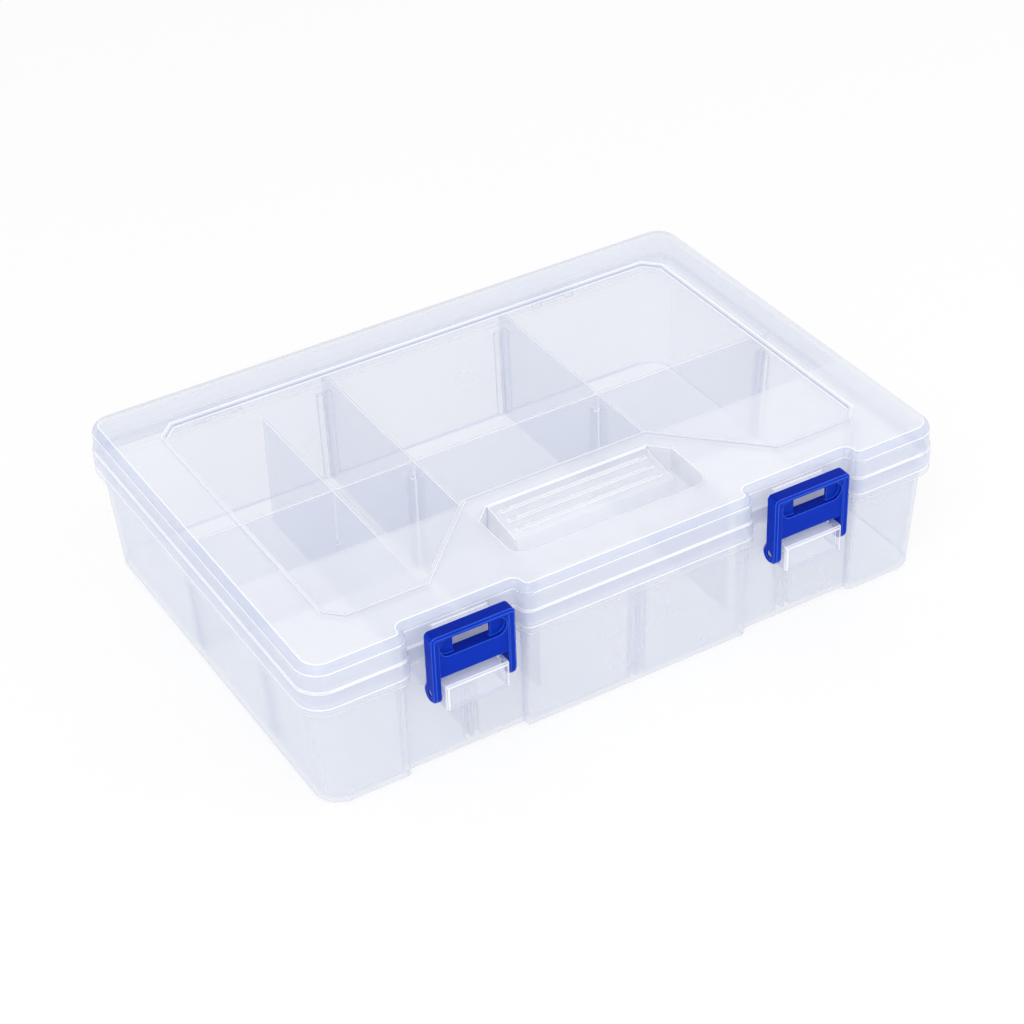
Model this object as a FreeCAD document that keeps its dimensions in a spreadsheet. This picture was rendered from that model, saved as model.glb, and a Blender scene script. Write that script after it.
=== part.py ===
"""Clear compartment storage box with a hinged lid, two swing latches and loose dividers."""

import FreeCAD, Part
import math
import os
import Sketcher

# Driving sizes in millimetres. Z = 0 is the table, the front is -Y and the length runs along X.
SIZES = {
    # whole box
    "box_length": 290.0,
    "box_width": 200.0,
    "box_height": 70.0,
    "corner_round": 11.0,
    # rim of the tray, under the lid, and the lip that stands inside the lid
    "lid_rise": 18.7,
    "rim_thick": 3.6,
    "lip_rise": 5.7,
    "lip_wall": 1.6,
    "lip_gap": 0.4,
    # tray walls
    "shoulder_inset": 2.4,
    "foot_inset_side": 5.5,
    "foot_inset_front": 3.4,
    "wall_round": 11.5,
    "tray_wall": 1.8,
    "floor_skin": 2.0,
    "foot_round": 1.8,
    # set-back panels behind the latches
    "latch_place": 77.4,
    "latch_side_gap": 5.3,
    "notch_depth": 6.5,
    "notch_outer_round": 5.6,
    "notch_inner_round": 0.7,
    "recess_extra": 2.5,
    "recess_outer_round": 1.5,
    # slot ribs on the tray walls
    "slot_drop": 2.7,
    "slot_rib": 2.2,
    "slot_reach": 3.0,
    "side_slot_place": 50.0,
    # latch brackets on the tray
    "bracket_gap": 1.15,
    "bracket_reach": 12.0,
    "bracket_drop": 18.5,
    "bracket_rise": 11.6,
    "bracket_wall": 1.6,
    "bracket_round": 0.8,
    # latch pivot
    "pivot_reach": 6.1,
    "pivot_drop": 11.6,
    "pivot_pin": 3.2,
    "pivot_fit": 0.05,
    "pivot_sink": 0.7,
    # latches
    "latch_width": 36.0,
    "latch_leg": 3.1,
    "latch_front": 4.4,
    "latch_back": 1.9,
    "latch_rise": 27.6,
    "plate_rise": 8.0,
    "plate_thick": 4.0,
    "latch_lip": 2.0,
    "latch_corner": 2.0,
    "latch_edge": 0.9,
    "face_sink": 0.8,
    "face_border": 3.0,
    "face_border_top": 1.8,
    "thumb_margin": 3.7,
    "thumb_high": 8.2,
    "thumb_drop": 6.4,
    "thumb_deep": 1.8,
    "window_margin": 10.1,
    "window_ledge": 1.2,
    # hinge
    "hinge_place": 84.0,
    "hinge_radius": 2.6,
    "hinge_clear": 0.3,
    "hinge_drop": 0.8,
    "hinge_pin": 2.8,
    "hinge_fit": 0.05,
    "hinge_web": 1.2,
    "barrel_length": 12.0,
    "lug_width": 4.0,
    "lug_gap": 0.4,
    "clip_mouth": 2.2,
    # lid shell
    "lid_gap": 0.3,
    "skirt_rise": 7.1,
    "skirt_wall": 1.6,
    "skirt_ledge": 0.7,
    "step_inset": 0.8,
    "lid_wall": 1.8,
    "lid_skin": 1.8,
    "edge_round": 4.4,
    # sunken panel of the lid
    "panel_margin_side": 22.5,
    "panel_margin_end": 24.0,
    "panel_corner": 7.0,
    "panel_sink": 1.6,
    "panel_notch_width": 161.0,
    "panel_notch_deep": 38.3,
    # grip pocket of the lid
    "grip_width": 89.0,
    "grip_long": 33.5,
    "grip_margin": 20.5,
    "grip_corner": 7.0,
    "grip_round": 7.0,
    "grip_depth": 10.9,
    "grip_wall": 1.6,
    "grip_skin": 1.7,
    # ribbed thumb shelf in the grip pocket
    "shelf_width": 74.0,
    "shelf_long": 20.0,
    "shelf_foot": 4.0,
    "shelf_drop_back": 0.6,
    "shelf_drop_front": 4.0,
    "shelf_round": 1.5,
    "grip_rib": 1.3,
    "grip_rib_length": 67.0,
    # catch rails of the lid behind the latches
    "catch_gap": 2.9,
    "catch_reach": 3.8,
    "catch_thick": 2.2,
    "catch_drop": 5.2,
    # dividers
    "divider_thick": 1.6,
    "divider_drop": 0.8,
    "divider_clear": 0.2,
    "cross_left_place": 73.4,
    "cross_middle_place": 36.0,
    "cross_right_place": 53.5,
    "cross_short": 24.0,
    "cross_left_short": 33.0,
    "long_place": 15.0,
    "guide_thick": 1.6,
    "guide_reach": 2.2,
    "guide_drop": 7.2,
}

half_share = 0.5
bend_share = 0.3
match_share = 0.000005
grip_rib_shares = (0.23, 0.51, 0.79)
panel_bevel_angle = 45

doc = FreeCAD.newDocument("storage_box")
sheet = doc.addObject("Spreadsheet::Sheet", "sizes")
for row, (alias, number) in enumerate(SIZES.items(), start=1):
    sheet.set("A%d" % row, alias)
    sheet.set("B%d" % row, "%g" % number)
    sheet.setAlias("B%d" % row, alias)
doc.recompute()


class Size:
    """A length: its present value and the sheet expression that drives it."""

    def __init__(self, value, text):
        self.value = value
        self.text = text

    def __add__(self, other):
        return Size(self.value + other.value, "(%s + %s)" % (self.text, other.text))

    def __sub__(self, other):
        return Size(self.value - other.value, "(%s - %s)" % (self.text, other.text))

    def __neg__(self):
        return Size(-self.value, "(-1 * %s)" % self.text)

    def __mul__(self, share):
        if isinstance(share, Size):
            return Size(self.value * share.value, "(%s * %s)" % (self.text, share.text))
        return Size(self.value * share, "(%s * %g)" % (self.text, share))

    def __truediv__(self, other):
        return Size(self.value / other.value, "(%s / %s)" % (self.text, other.text))


def size(alias):
    """The driving size in the sheet under this alias."""
    return Size(float(sheet.get(alias)), "sizes.%s" % alias)


ZERO = Size(0.0, "0")


def origin_feature(body, role):
    """One of the body's own origin planes or axes."""
    for feature in body.Origin.OriginFeatures:
        if feature.Role == role:
            return feature
    raise RuntimeError("%s has no %s" % (body.Label, role))


def new_body(label):
    """An empty body whose label names the piece."""
    body = doc.addObject("PartDesign::Body", label)
    body.Label = label
    return body


def new_sketch(body, name, role, offset):
    """A sketch on one of the body's origin planes, moved along its normal."""
    sketch = body.newObject("Sketcher::SketchObject", name)
    sketch.AttachmentSupport = [(origin_feature(body, role), "")]
    sketch.MapMode = "FlatFace"
    sketch.AttachmentOffset = FreeCAD.Placement(
        FreeCAD.Vector(0, 0, offset.value), FreeCAD.Rotation()
    )
    sketch.setExpression("AttachmentOffset.Base.z", offset.text)
    return sketch


class Constraints:
    """Constraints gathered for one sketch and added in one go with their expressions."""

    def __init__(self, sketch):
        self.sketch = sketch
        self.items = []
        self.texts = {}

    def add(self, *arguments):
        self.items.append(Sketcher.Constraint(*arguments))

    def drive(self, text, *arguments):
        self.texts[len(self.items)] = text
        self.add(*arguments)

    def place(self, kind, geometry, point, where):
        """Distance of a point from the sketch origin along X or Y."""
        if where.value < 0:
            self.drive((-where).text, kind, geometry, point, -1, 1, -where.value)
        else:
            self.drive(where.text, kind, -1, 1, geometry, point, where.value)

    def apply(self):
        first = self.sketch.ConstraintCount
        self.sketch.addConstraint(self.items)
        for index, text in self.texts.items():
            self.sketch.setExpression("Constraints[%d]" % (first + index), text)


def add_outline(sketch, corners):
    """A closed outline. A corner is (x, y) or (x, y, radius); rounded ones join level edges."""
    count = len(corners)
    spots = [FreeCAD.Vector(corner[0].value, corner[1].value, 0) for corner in corners]
    runs = [(spots[(i + 1) % count] - spots[i]).normalize() for i in range(count)]
    arrive = list(spots)
    leave = list(spots)
    for i, corner in enumerate(corners):
        if len(corner) > 2:
            arrive[i] = spots[i] - runs[i - 1] * corner[2].value
            leave[i] = spots[i] + runs[i] * corner[2].value
    first = sketch.GeometryCount
    lines = [
        Part.LineSegment(leave[i], arrive[(i + 1) % count]) for i in range(count)
    ]
    sketch.addGeometry(lines, False)
    rules = Constraints(sketch)
    tiny = box_length.value * match_share
    level = []
    upright = []
    for i in range(count):
        gap = spots[(i + 1) % count] - spots[i]
        level.append(abs(gap.y) < tiny)
        upright.append(abs(gap.x) < tiny)
        if level[i]:
            rules.add("Horizontal", first + i)
            rules.place("DistanceY", first + i, 1, corners[i][1])
        elif upright[i]:
            rules.add("Vertical", first + i)
            rules.place("DistanceX", first + i, 1, corners[i][0])
    for i, corner in enumerate(corners):
        before = (i - 1) % count
        if len(corner) > 2:
            middle = arrive[i] + leave[i] - spots[i]
            left_turn = runs[before].cross(runs[i]).z > 0
            ends = [arrive[i] - middle, leave[i] - middle]
            if not left_turn:
                ends.reverse()
            angles = [math.atan2(end.y, end.x) for end in ends]
            circle = Part.Circle(middle, FreeCAD.Vector(0, 0, 1), corner[2].value)
            arc = sketch.addGeometry(Part.ArcOfCircle(circle, angles[0], angles[1]), False)
            in_point, out_point = (1, 2) if left_turn else (2, 1)
            rules.add("Tangent", first + before, 2, arc, in_point)
            rules.add("Tangent", arc, out_point, first + i, 1)
            rules.drive(corner[2].text, "Radius", arc, corner[2].value)
        else:
            rules.add("Coincident", first + before, 2, first + i, 1)
            if not (level[before] or level[i]):
                rules.place("DistanceY", first + i, 1, corner[1])
            if not (upright[before] or upright[i]):
                rules.place("DistanceX", first + i, 1, corner[0])
    rules.apply()


def add_rectangle(sketch, x_low, x_high, y_low, y_high):
    """A level rectangle between two pairs of places."""
    add_outline(sketch, [(x_low, y_low), (x_high, y_low), (x_high, y_high), (x_low, y_high)])


def add_circle(sketch, x_place, y_place, radius):
    """A circle about a place."""
    middle = FreeCAD.Vector(x_place.value, y_place.value, 0)
    index = sketch.addGeometry(Part.Circle(middle, FreeCAD.Vector(0, 0, 1), radius.value), False)
    rules = Constraints(sketch)
    rules.drive(radius.text, "Radius", index, radius.value)
    rules.place("DistanceX", index, 3, x_place)
    rules.place("DistanceY", index, 3, y_place)
    rules.apply()


def volume_of(body):
    """Volume of the body as modelled so far."""
    doc.recompute()
    return body.Shape.Volume


def add_pad(body, name, sketch, length, both_ways=False):
    """Raise a sketch along its normal, or half of the length to each side."""
    feature = body.newObject("PartDesign::Pad", name)
    feature.Profile = sketch
    feature.Length = length.value
    feature.setExpression("Length", length.text)
    if both_ways:
        feature.SideType = "Symmetric"
    doc.recompute()
    return feature


def add_pocket(body, name, sketch, length, along_normal=False, both_ways=False):
    """Cut a sketch into the body, against its normal unless told otherwise."""
    before = volume_of(body)
    feature = body.newObject("PartDesign::Pocket", name)
    feature.Profile = sketch
    feature.Length = length.value
    feature.setExpression("Length", length.text)
    feature.Reversed = along_normal
    if both_ways:
        feature.SideType = "Symmetric"
    if not volume_of(body) < before:
        raise RuntimeError("%s cuts nothing" % name)
    return feature


def add_loft(body, kind, name, lowest, others):
    """Ruled loft through outlines from the lowest up, added or taken away."""
    feature = body.newObject("PartDesign::" + kind, name)
    feature.Profile = lowest
    feature.Sections = others
    feature.Ruled = True
    doc.recompute()
    return feature


def picked_edges(body, name, chosen):
    """The solid as it stands and the names of its edges that the test picks out."""
    doc.recompute()
    base = body.Tip
    names = [
        "Edge%d" % number
        for number, edge in enumerate(base.Shape.Edges, start=1)
        if chosen(edge)
    ]
    if not names:
        raise RuntimeError("%s finds no edge" % name)
    return (base, names)


def add_fillet(body, name, radius, chosen):
    """Round the edges of the body that the test picks out."""
    edges = picked_edges(body, name, chosen)
    feature = body.newObject("PartDesign::Fillet", name)
    feature.Base = edges
    feature.Radius = radius.value
    feature.setExpression("Radius", radius.text)
    doc.recompute()
    return feature


def add_chamfer(body, name, breadth, chosen):
    """Bevel the edges of the body that the test picks out."""
    edges = picked_edges(body, name, chosen)
    feature = body.newObject("PartDesign::Chamfer", name)
    feature.Base = edges
    feature.Size = breadth.value
    feature.setExpression("Size", breadth.text)
    doc.recompute()
    return feature


def near(first, second):
    """Whether two numbers agree for the purpose of picking edges."""
    return abs(first - second) < box_length.value * match_share


def flat_at(edge, height):
    """Whether the edge lies wholly at one height."""
    return near(edge.BoundBox.ZMin, height.value) and near(edge.BoundBox.ZMax, height.value)


box_length = size("box_length")
half_length = box_length * half_share
half_width = size("box_width") * half_share
box_height = size("box_height")
rim_top = box_height - size("lid_rise")
rim_low = rim_top - size("rim_thick")
lip_top = rim_top + size("lip_rise")
lip_inset = size("skirt_wall") + size("lip_gap")
lid_low = rim_top + size("lid_gap")
floor_top = size("floor_skin")
slot_top = rim_low - size("slot_drop")
latch_place = size("latch_place")
latch_half = size("latch_width") * half_share
latch_inner = latch_half - size("latch_leg")
notch_half = latch_half + size("latch_side_gap")
recess_half = notch_half + size("recess_extra")
recess_wall = half_width - size("notch_depth")
pivot_y = -(recess_wall + size("pivot_reach"))
pivot_z = rim_top - size("pivot_drop")
pivot_radius = size("pivot_pin") * half_share
hinge_y = half_width + size("hinge_clear") + size("hinge_radius")
hinge_z = rim_top - size("hinge_drop")
hinge_radius = size("hinge_radius")
hinge_pin_radius = size("hinge_pin") * half_share
barrel_half = size("barrel_length") * half_share
divider_thick = size("divider_thick")
divider_half = divider_thick * half_share
divider_top = lip_top - size("divider_drop")
divider_rise = divider_top - floor_top
divider_clear = size("divider_clear")
slot_gap_half = divider_half + divider_clear


def notched_outline(sketch, half_x, half_y, notch_side, notch_y, rounds):
    """Rounded rectangle with the two latch notches, their inner corners sharp without a third round."""
    corner, outer = rounds[:2]
    inner = rounds[2:]
    near_edge = latch_place - notch_side
    far_edge = latch_place + notch_side
    add_outline(
        sketch,
        [
            (-half_x, -half_y, corner),
            (-far_edge, -half_y, outer),
            (-far_edge, -notch_y) + inner,
            (-near_edge, -notch_y) + inner,
            (-near_edge, -half_y, outer),
            (near_edge, -half_y, outer),
            (near_edge, -notch_y) + inner,
            (far_edge, -notch_y) + inner,
            (far_edge, -half_y, outer),
            (half_x, -half_y, corner),
            (half_x, half_y, corner),
            (-half_x, half_y, corner),
        ],
    )


def rim_outline(sketch, inset):
    """Outline of rim, lip and lid: the same shape, set in by one amount all round."""
    notched_outline(
        sketch,
        half_length - inset,
        half_width - inset,
        notch_half + inset,
        recess_wall - inset,
        (
            size("corner_round") - inset,
            size("notch_outer_round") - inset,
            size("notch_inner_round") + inset,
        ),
    )


def wall_outline(sketch, inset_x, inset_y, skin):
    """Outline of the tray wall, outside when the skin is nothing and inside otherwise."""
    notched_outline(
        sketch,
        half_length - inset_x - skin,
        half_width - inset_y - skin,
        recess_half + skin,
        recess_wall - skin,
        (
            size("wall_round") - skin,
            size("recess_outer_round"),
        ),
    )


def hinge_lug(body, name, start, length):
    """A rounded lug behind the rim, standing on a web under the hinge axis."""
    sketch = new_sketch(body, name + "_profile", "YZ_Plane", start)
    root = half_width - size("shoulder_inset")
    low = hinge_z - hinge_radius
    near_side = hinge_y - hinge_radius
    middle = FreeCAD.Vector(hinge_y.value, hinge_z.value, 0)
    circle = Part.Circle(middle, FreeCAD.Vector(0, 0, 1), hinge_radius.value)
    corners = [(root, low), (hinge_y, low), (near_side, hinge_z), (root, hinge_z)]
    spots = [FreeCAD.Vector(x.value, y.value, 0) for x, y in corners]
    sketch.addGeometry(Part.LineSegment(spots[0], spots[1]), False)
    sketch.addGeometry(Part.ArcOfCircle(circle, -math.pi * half_share, math.pi), False)
    sketch.addGeometry(Part.LineSegment(spots[2], spots[3]), False)
    sketch.addGeometry(Part.LineSegment(spots[3], spots[0]), False)
    rules = Constraints(sketch)
    rules.add("Horizontal", 0)
    rules.add("Horizontal", 2)
    rules.add("Vertical", 3)
    rules.add("Tangent", 0, 2, 1, 1)
    rules.add("Coincident", 1, 2, 2, 1)
    rules.add("Coincident", 2, 2, 3, 1)
    rules.add("Coincident", 3, 2, 0, 1)
    rules.drive(hinge_radius.text, "Radius", 1, hinge_radius.value)
    rules.place("DistanceX", 1, 3, hinge_y)
    rules.place("DistanceY", 1, 3, hinge_z)
    rules.place("DistanceX", 3, 1, root)
    rules.place("DistanceY", 2, 1, hinge_z)
    rules.apply()
    return add_pad(body, name, sketch, length)


def slot_rib(body, name, role, offset, lower, upper, reach, thick):
    """An upright rib on a leaning wall: from the wall's middle to a reach inside its inner face."""
    sketch = new_sketch(body, name + "_profile", role, offset)
    (low_out, low_in), (high_out, high_in) = lower, upper
    sign = 1 if low_out.value < low_in.value else -1
    inward = reach if sign > 0 else -reach
    add_outline(
        sketch,
        [
            (low_out, floor_top),
            (low_in + inward, floor_top),
            (high_in + inward, slot_top),
            (high_out, slot_top),
        ],
    )
    return add_pad(body, name, sketch, thick)


def build_tray():
    """Tray with drafted walls, rim, lip, slot ribs, latch brackets and hinge lugs."""
    body = new_body("base_tray")
    side = size("foot_inset_side")
    front = size("foot_inset_front")
    shoulder = size("shoulder_inset")
    skin = size("tray_wall")

    # The bottom edge is rounded in two flats, then the walls lean out to the shoulder.
    foot_round = size("foot_round")
    bend = foot_round * bend_share
    foot = new_sketch(body, "foot_outline", "XY_Plane", ZERO)
    wall_outline(foot, side, front, foot_round)
    turn = new_sketch(body, "bend_outline", "XY_Plane", bend)
    wall_outline(turn, side, front, bend)
    waist = new_sketch(body, "waist_outline", "XY_Plane", foot_round)
    wall_outline(waist, side, front, ZERO)
    top = new_sketch(body, "shoulder_outline", "XY_Plane", rim_low)
    wall_outline(top, shoulder, shoulder, ZERO)
    add_loft(body, "AdditiveLoft", "tray_walls", foot, [turn, waist, top])

    rim = new_sketch(body, "rim_outline", "XY_Plane", rim_low)
    rim_outline(rim, ZERO)
    add_pad(body, "rim", rim, rim_top - rim_low)
    lip = new_sketch(body, "lip_outline", "XY_Plane", rim_top)
    rim_outline(lip, lip_inset)
    add_pad(body, "lip", lip, size("lip_rise"))

    low_hollow = new_sketch(body, "floor_outline", "XY_Plane", floor_top)
    wall_outline(low_hollow, side, front, skin)
    lip_inner = lip_inset + size("lip_wall")
    high_hollow = new_sketch(body, "mouth_outline", "XY_Plane", lip_top)
    notched_outline(
        high_hollow,
        half_length - lip_inner,
        half_width - lip_inner,
        recess_half + skin,
        recess_wall - lip_inner,
        (
            size("wall_round") - skin,
            size("recess_outer_round"),
        ),
    )
    before = volume_of(body)
    add_loft(body, "SubtractiveLoft", "hollow", low_hollow, [high_hollow])
    if not volume_of(body) < before:
        raise RuntimeError("the tray is not hollow")

    # Inner faces of the walls at the floor and at the top of the ribs.
    lean_share = (slot_top - floor_top) / (lip_top - floor_top)
    wall_mid = skin * half_share

    def leaning(low_face, high_face):
        return low_face + (high_face - low_face) * lean_share

    floor_x = half_length - side - skin
    mouth_x = half_length - lip_inner
    top_x = leaning(floor_x, mouth_x)
    floor_y = half_width - front - skin
    mouth_y = half_width - lip_inner
    top_y = leaning(floor_y, mouth_y)
    recess_floor = recess_wall - skin
    recess_top = leaning(recess_floor, recess_wall - lip_inner)

    reach = size("slot_reach")
    rib = size("slot_rib")
    first_rib = slot_gap_half + rib
    pitch = slot_gap_half + slot_gap_half + rib
    across = []
    for name, place, faces in (
        ("left_front_rib", -size("cross_left_place"), (recess_floor, recess_top)),
        ("middle_front_rib", ZERO, (floor_y, top_y)),
        ("right_front_rib", size("cross_left_place"), (recess_floor, recess_top)),
    ):
        lower = (-(faces[0] + wall_mid), -faces[0])
        upper = (-(faces[1] + wall_mid), -faces[1])
        start = place - first_rib
        across.append(slot_rib(body, name, "YZ_Plane", start, lower, upper, reach, rib))
    for name, place in (
        ("middle_back_rib", -size("cross_middle_place")),
        ("right_back_rib", size("cross_right_place")),
    ):
        lower = (floor_y + wall_mid, floor_y)
        upper = (top_y + wall_mid, top_y)
        start = place - first_rib
        across.append(slot_rib(body, name, "YZ_Plane", start, lower, upper, reach, rib))
    repeat_ribs(body, "front_and_back_slots", across, "X_Axis", pitch, False)
    along = []
    for name, place in (
        ("long_rib", size("long_place")),
        ("spare_rib", -size("side_slot_place")),
    ):
        # This plane looks along -Y, so its offset counts towards the front.
        start = -(place + first_rib)
        for hand, lower, upper in (
            ("left_", (-(floor_x + wall_mid), -floor_x), (-(top_x + wall_mid), -top_x)),
            ("right_", (floor_x + wall_mid, floor_x), (top_x + wall_mid, top_x)),
        ):
            label = hand + name
            along.append(slot_rib(body, label, "XZ_Plane", start, lower, upper, reach, rib))
    repeat_ribs(body, "side_slots", along, "Y_Axis", pitch, True)

    # Hollow brackets on the set-back panels, with a pivot pin through each.
    low = rim_top - size("bracket_drop")
    bracket_half = latch_inner - size("bracket_gap")
    bracket_front = recess_wall + size("bracket_reach")
    wall = size("bracket_wall")
    blocks = new_sketch(body, "bracket_outline", "XY_Plane", low)
    hollows = new_sketch(body, "bracket_hollow_outline", "XY_Plane", low)
    for centre in (-latch_place, latch_place):
        add_rectangle(
            blocks,
            centre - bracket_half,
            centre + bracket_half,
            -bracket_front,
            wall_mid - recess_wall,
        )
        add_rectangle(
            hollows,
            centre - bracket_half + wall,
            centre + bracket_half - wall,
            wall - bracket_front,
            -recess_wall,
        )
    add_pad(body, "brackets", blocks, size("bracket_rise"))
    round_top = low + size("bracket_rise")
    add_chamfer(
        body,
        "bracket_edges",
        size("bracket_round"),
        lambda edge: edge.BoundBox.YMax < -recess_wall.value
        and near(edge.BoundBox.YMin, -bracket_front.value)
        and near(edge.BoundBox.YMax, -bracket_front.value)
        and edge.BoundBox.ZMax > low.value
        and edge.BoundBox.ZMax < round_top.value * (1 + match_share),
    )
    add_pocket(body, "bracket_hollows", hollows, size("bracket_rise") - wall, along_normal=True)
    pin_half = latch_half - size("pivot_sink")
    for name, centre in (("left_pivot_pin", -latch_place), ("right_pivot_pin", latch_place)):
        profile = new_sketch(body, name + "_circle", "YZ_Plane", centre - pin_half)
        add_circle(profile, pivot_y, pivot_z, pivot_radius)
        add_pad(body, name, profile, pin_half + pin_half)

    # Hinge lugs in pairs with a pin between them.
    lug = size("lug_width")
    reach_out = barrel_half + size("lug_gap")
    for hand, centre in (("left", -size("hinge_place")), ("right", size("hinge_place"))):
        hinge_lug(body, hand + "_outer_lug", centre - reach_out - lug, lug)
        hinge_lug(body, hand + "_inner_lug", centre + reach_out, lug)
        profile = new_sketch(body, hand + "_hinge_pin_circle", "YZ_Plane", centre - reach_out - lug)
        add_circle(profile, hinge_y, hinge_z, hinge_pin_radius)
        add_pad(body, hand + "_hinge_pin", profile, reach_out + reach_out + lug + lug)
    return body


def repeat_ribs(body, name, ribs, axis, pitch, backwards):
    """Second rib of each slot, one slot width further along the wall."""
    pattern = body.newObject("PartDesign::LinearPattern", name)
    pattern.Originals = ribs
    pattern.Direction = (origin_feature(body, axis), [""])
    pattern.Length = pitch.value
    pattern.setExpression("Length", pitch.text)
    pattern.Occurrences = 2
    pattern.Reversed = backwards
    body.Tip = pattern
    doc.recompute()
    return pattern


def panel_outline(sketch):
    """Sunken panel: cut corners and a slanted notch round the grip pocket."""
    side = half_length - size("panel_margin_side")
    end = half_width - size("panel_margin_end")
    cut = size("panel_corner")
    notch_wide = size("panel_notch_width") * half_share
    deep = size("panel_notch_deep")
    add_outline(
        sketch,
        [
            (-side, cut - end),
            (cut - side, -end),
            (-notch_wide, -end),
            (deep - notch_wide, deep - end),
            (notch_wide - deep, deep - end),
            (notch_wide, -end),
            (side - cut, -end),
            (side, cut - end),
            (side, end - cut),
            (side - cut, end),
            (cut - side, end),
            (-side, end - cut),
        ],
    )


def grip_outline(sketch, grown):
    """Grip pocket: cut corners at the back and round ones at the front."""
    half = size("grip_width") * half_share + grown
    front = -(half_width - size("grip_margin") + grown)
    back = size("grip_long") - half_width + size("grip_margin") + grown
    cut = size("grip_corner")
    rounded = size("grip_round") + grown
    add_outline(
        sketch,
        [
            (-half, front, rounded),
            (half, front, rounded),
            (half, back - cut),
            (half - cut, back),
            (cut - half, back),
            (-half, back - cut),
        ],
    )


def build_lid():
    """Lid with a stepped skirt, sunken panel, grip pocket, catch rails and hinge clips."""
    body = new_body("lid")
    step_top = lid_low + size("skirt_rise")
    skin_low = box_height - size("lid_skin")
    band = new_sketch(body, "skirt_outline", "XY_Plane", lid_low)
    rim_outline(band, ZERO)
    add_pad(body, "skirt", band, size("skirt_rise"))
    crown = new_sketch(body, "crown_outline", "XY_Plane", step_top)
    rim_outline(crown, size("step_inset"))
    add_pad(body, "crown", crown, box_height - step_top)
    add_fillet(body, "top_edge", size("edge_round"), lambda edge: flat_at(edge, box_height))

    wide = new_sketch(body, "skirt_hollow_outline", "XY_Plane", lid_low)
    rim_outline(wide, size("skirt_wall"))
    ledge = size("skirt_rise") - size("skirt_ledge")
    add_pocket(body, "skirt_hollow", wide, ledge, along_normal=True)
    narrow = new_sketch(body, "crown_hollow_outline", "XY_Plane", lid_low)
    rim_outline(narrow, size("step_inset") + size("lid_wall"))
    add_pocket(body, "crown_hollow", narrow, skin_low - lid_low, along_normal=True)
    inner_round = size("edge_round") - size("lid_skin")
    add_chamfer(body, "inner_top_edge", inner_round, lambda edge: flat_at(edge, skin_low))

    # Sunken panel: thickened from below, then cut from above with a bevelled edge.
    sink = size("panel_sink")
    under = new_sketch(body, "panel_under_outline", "XY_Plane", skin_low - sink)
    panel_outline(under)
    add_pad(body, "panel_under", under, sink)
    above = new_sketch(body, "panel_outline", "XY_Plane", box_height)
    panel_outline(above)
    panel = add_pocket(body, "panel", above, sink)
    panel.TaperAngle = -panel_bevel_angle
    doc.recompute()

    # Grip pocket: a hanging box, hollowed from above, with a ribbed shelf at its back.
    grip_floor = box_height - size("grip_depth")
    grip_under = grip_floor - size("grip_skin")
    wall = size("grip_wall")
    box = new_sketch(body, "grip_box_outline", "XY_Plane", grip_under)
    grip_outline(box, wall)
    add_pad(body, "grip_box", box, skin_low - grip_under)
    opening = new_sketch(body, "grip_outline", "XY_Plane", box_height)
    grip_outline(opening, ZERO)
    add_pocket(body, "grip_pocket", opening, size("grip_depth"))

    back = size("grip_long") - half_width + size("grip_margin")
    front = back - size("shelf_long")
    foot = front - size("shelf_foot")
    back_top = box_height - size("shelf_drop_back")
    front_top = box_height - size("shelf_drop_front")
    shelf = new_sketch(body, "shelf_profile", "YZ_Plane", ZERO)
    back_root = back + wall * half_share
    add_outline(
        shelf,
        [(back_root, grip_floor), (back_root, back_top), (front, front_top), (foot, grip_floor)],
    )
    add_pad(body, "shelf", shelf, size("shelf_width"), both_ways=True)
    add_fillet(
        body,
        "shelf_brow",
        size("shelf_round"),
        lambda edge: near(edge.BoundBox.YMin, front.value)
        and near(edge.BoundBox.YMax, front.value)
        and flat_at(edge, front_top),
    )
    beneath = new_sketch(body, "shelf_hollow_profile", "YZ_Plane", ZERO)
    add_outline(
        beneath,
        [
            (back - wall, grip_under),
            (back - wall, back_top - wall),
            (front + wall * half_share, front_top - wall),
            (foot + wall, grip_under),
        ],
    )
    add_pocket(body, "shelf_hollow", beneath, size("shelf_width") - wall - wall, both_ways=True)
    ribs = new_sketch(body, "grip_rib_circles", "YZ_Plane", ZERO)
    for share in grip_rib_shares:
        along = back + (front - back) * share
        height = back_top + (front_top - back_top) * share
        add_circle(ribs, along, height, size("grip_rib") * half_share)
    add_pad(body, "grip_ribs", ribs, size("grip_rib_length"), both_ways=True)

    # Rails that the latches close over.
    catch_top = box_height - size("catch_drop")
    catch_half = latch_inner - size("catch_gap")
    rails = new_sketch(body, "catch_outline", "XY_Plane", catch_top - size("catch_thick"))
    for centre in (-latch_place, latch_place):
        add_rectangle(
            rails,
            centre - catch_half,
            centre + catch_half,
            -(recess_wall + size("catch_reach")),
            size("lid_wall") * half_share - recess_wall + size("step_inset"),
        )
    add_pad(body, "catch_rails", rails, size("catch_thick"))

    # Hinge clips that snap over the pins from above.
    for hand, centre in (("left", -size("hinge_place")), ("right", size("hinge_place"))):
        hinge_clip(body, hand + "_clip", centre)
    return body


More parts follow.
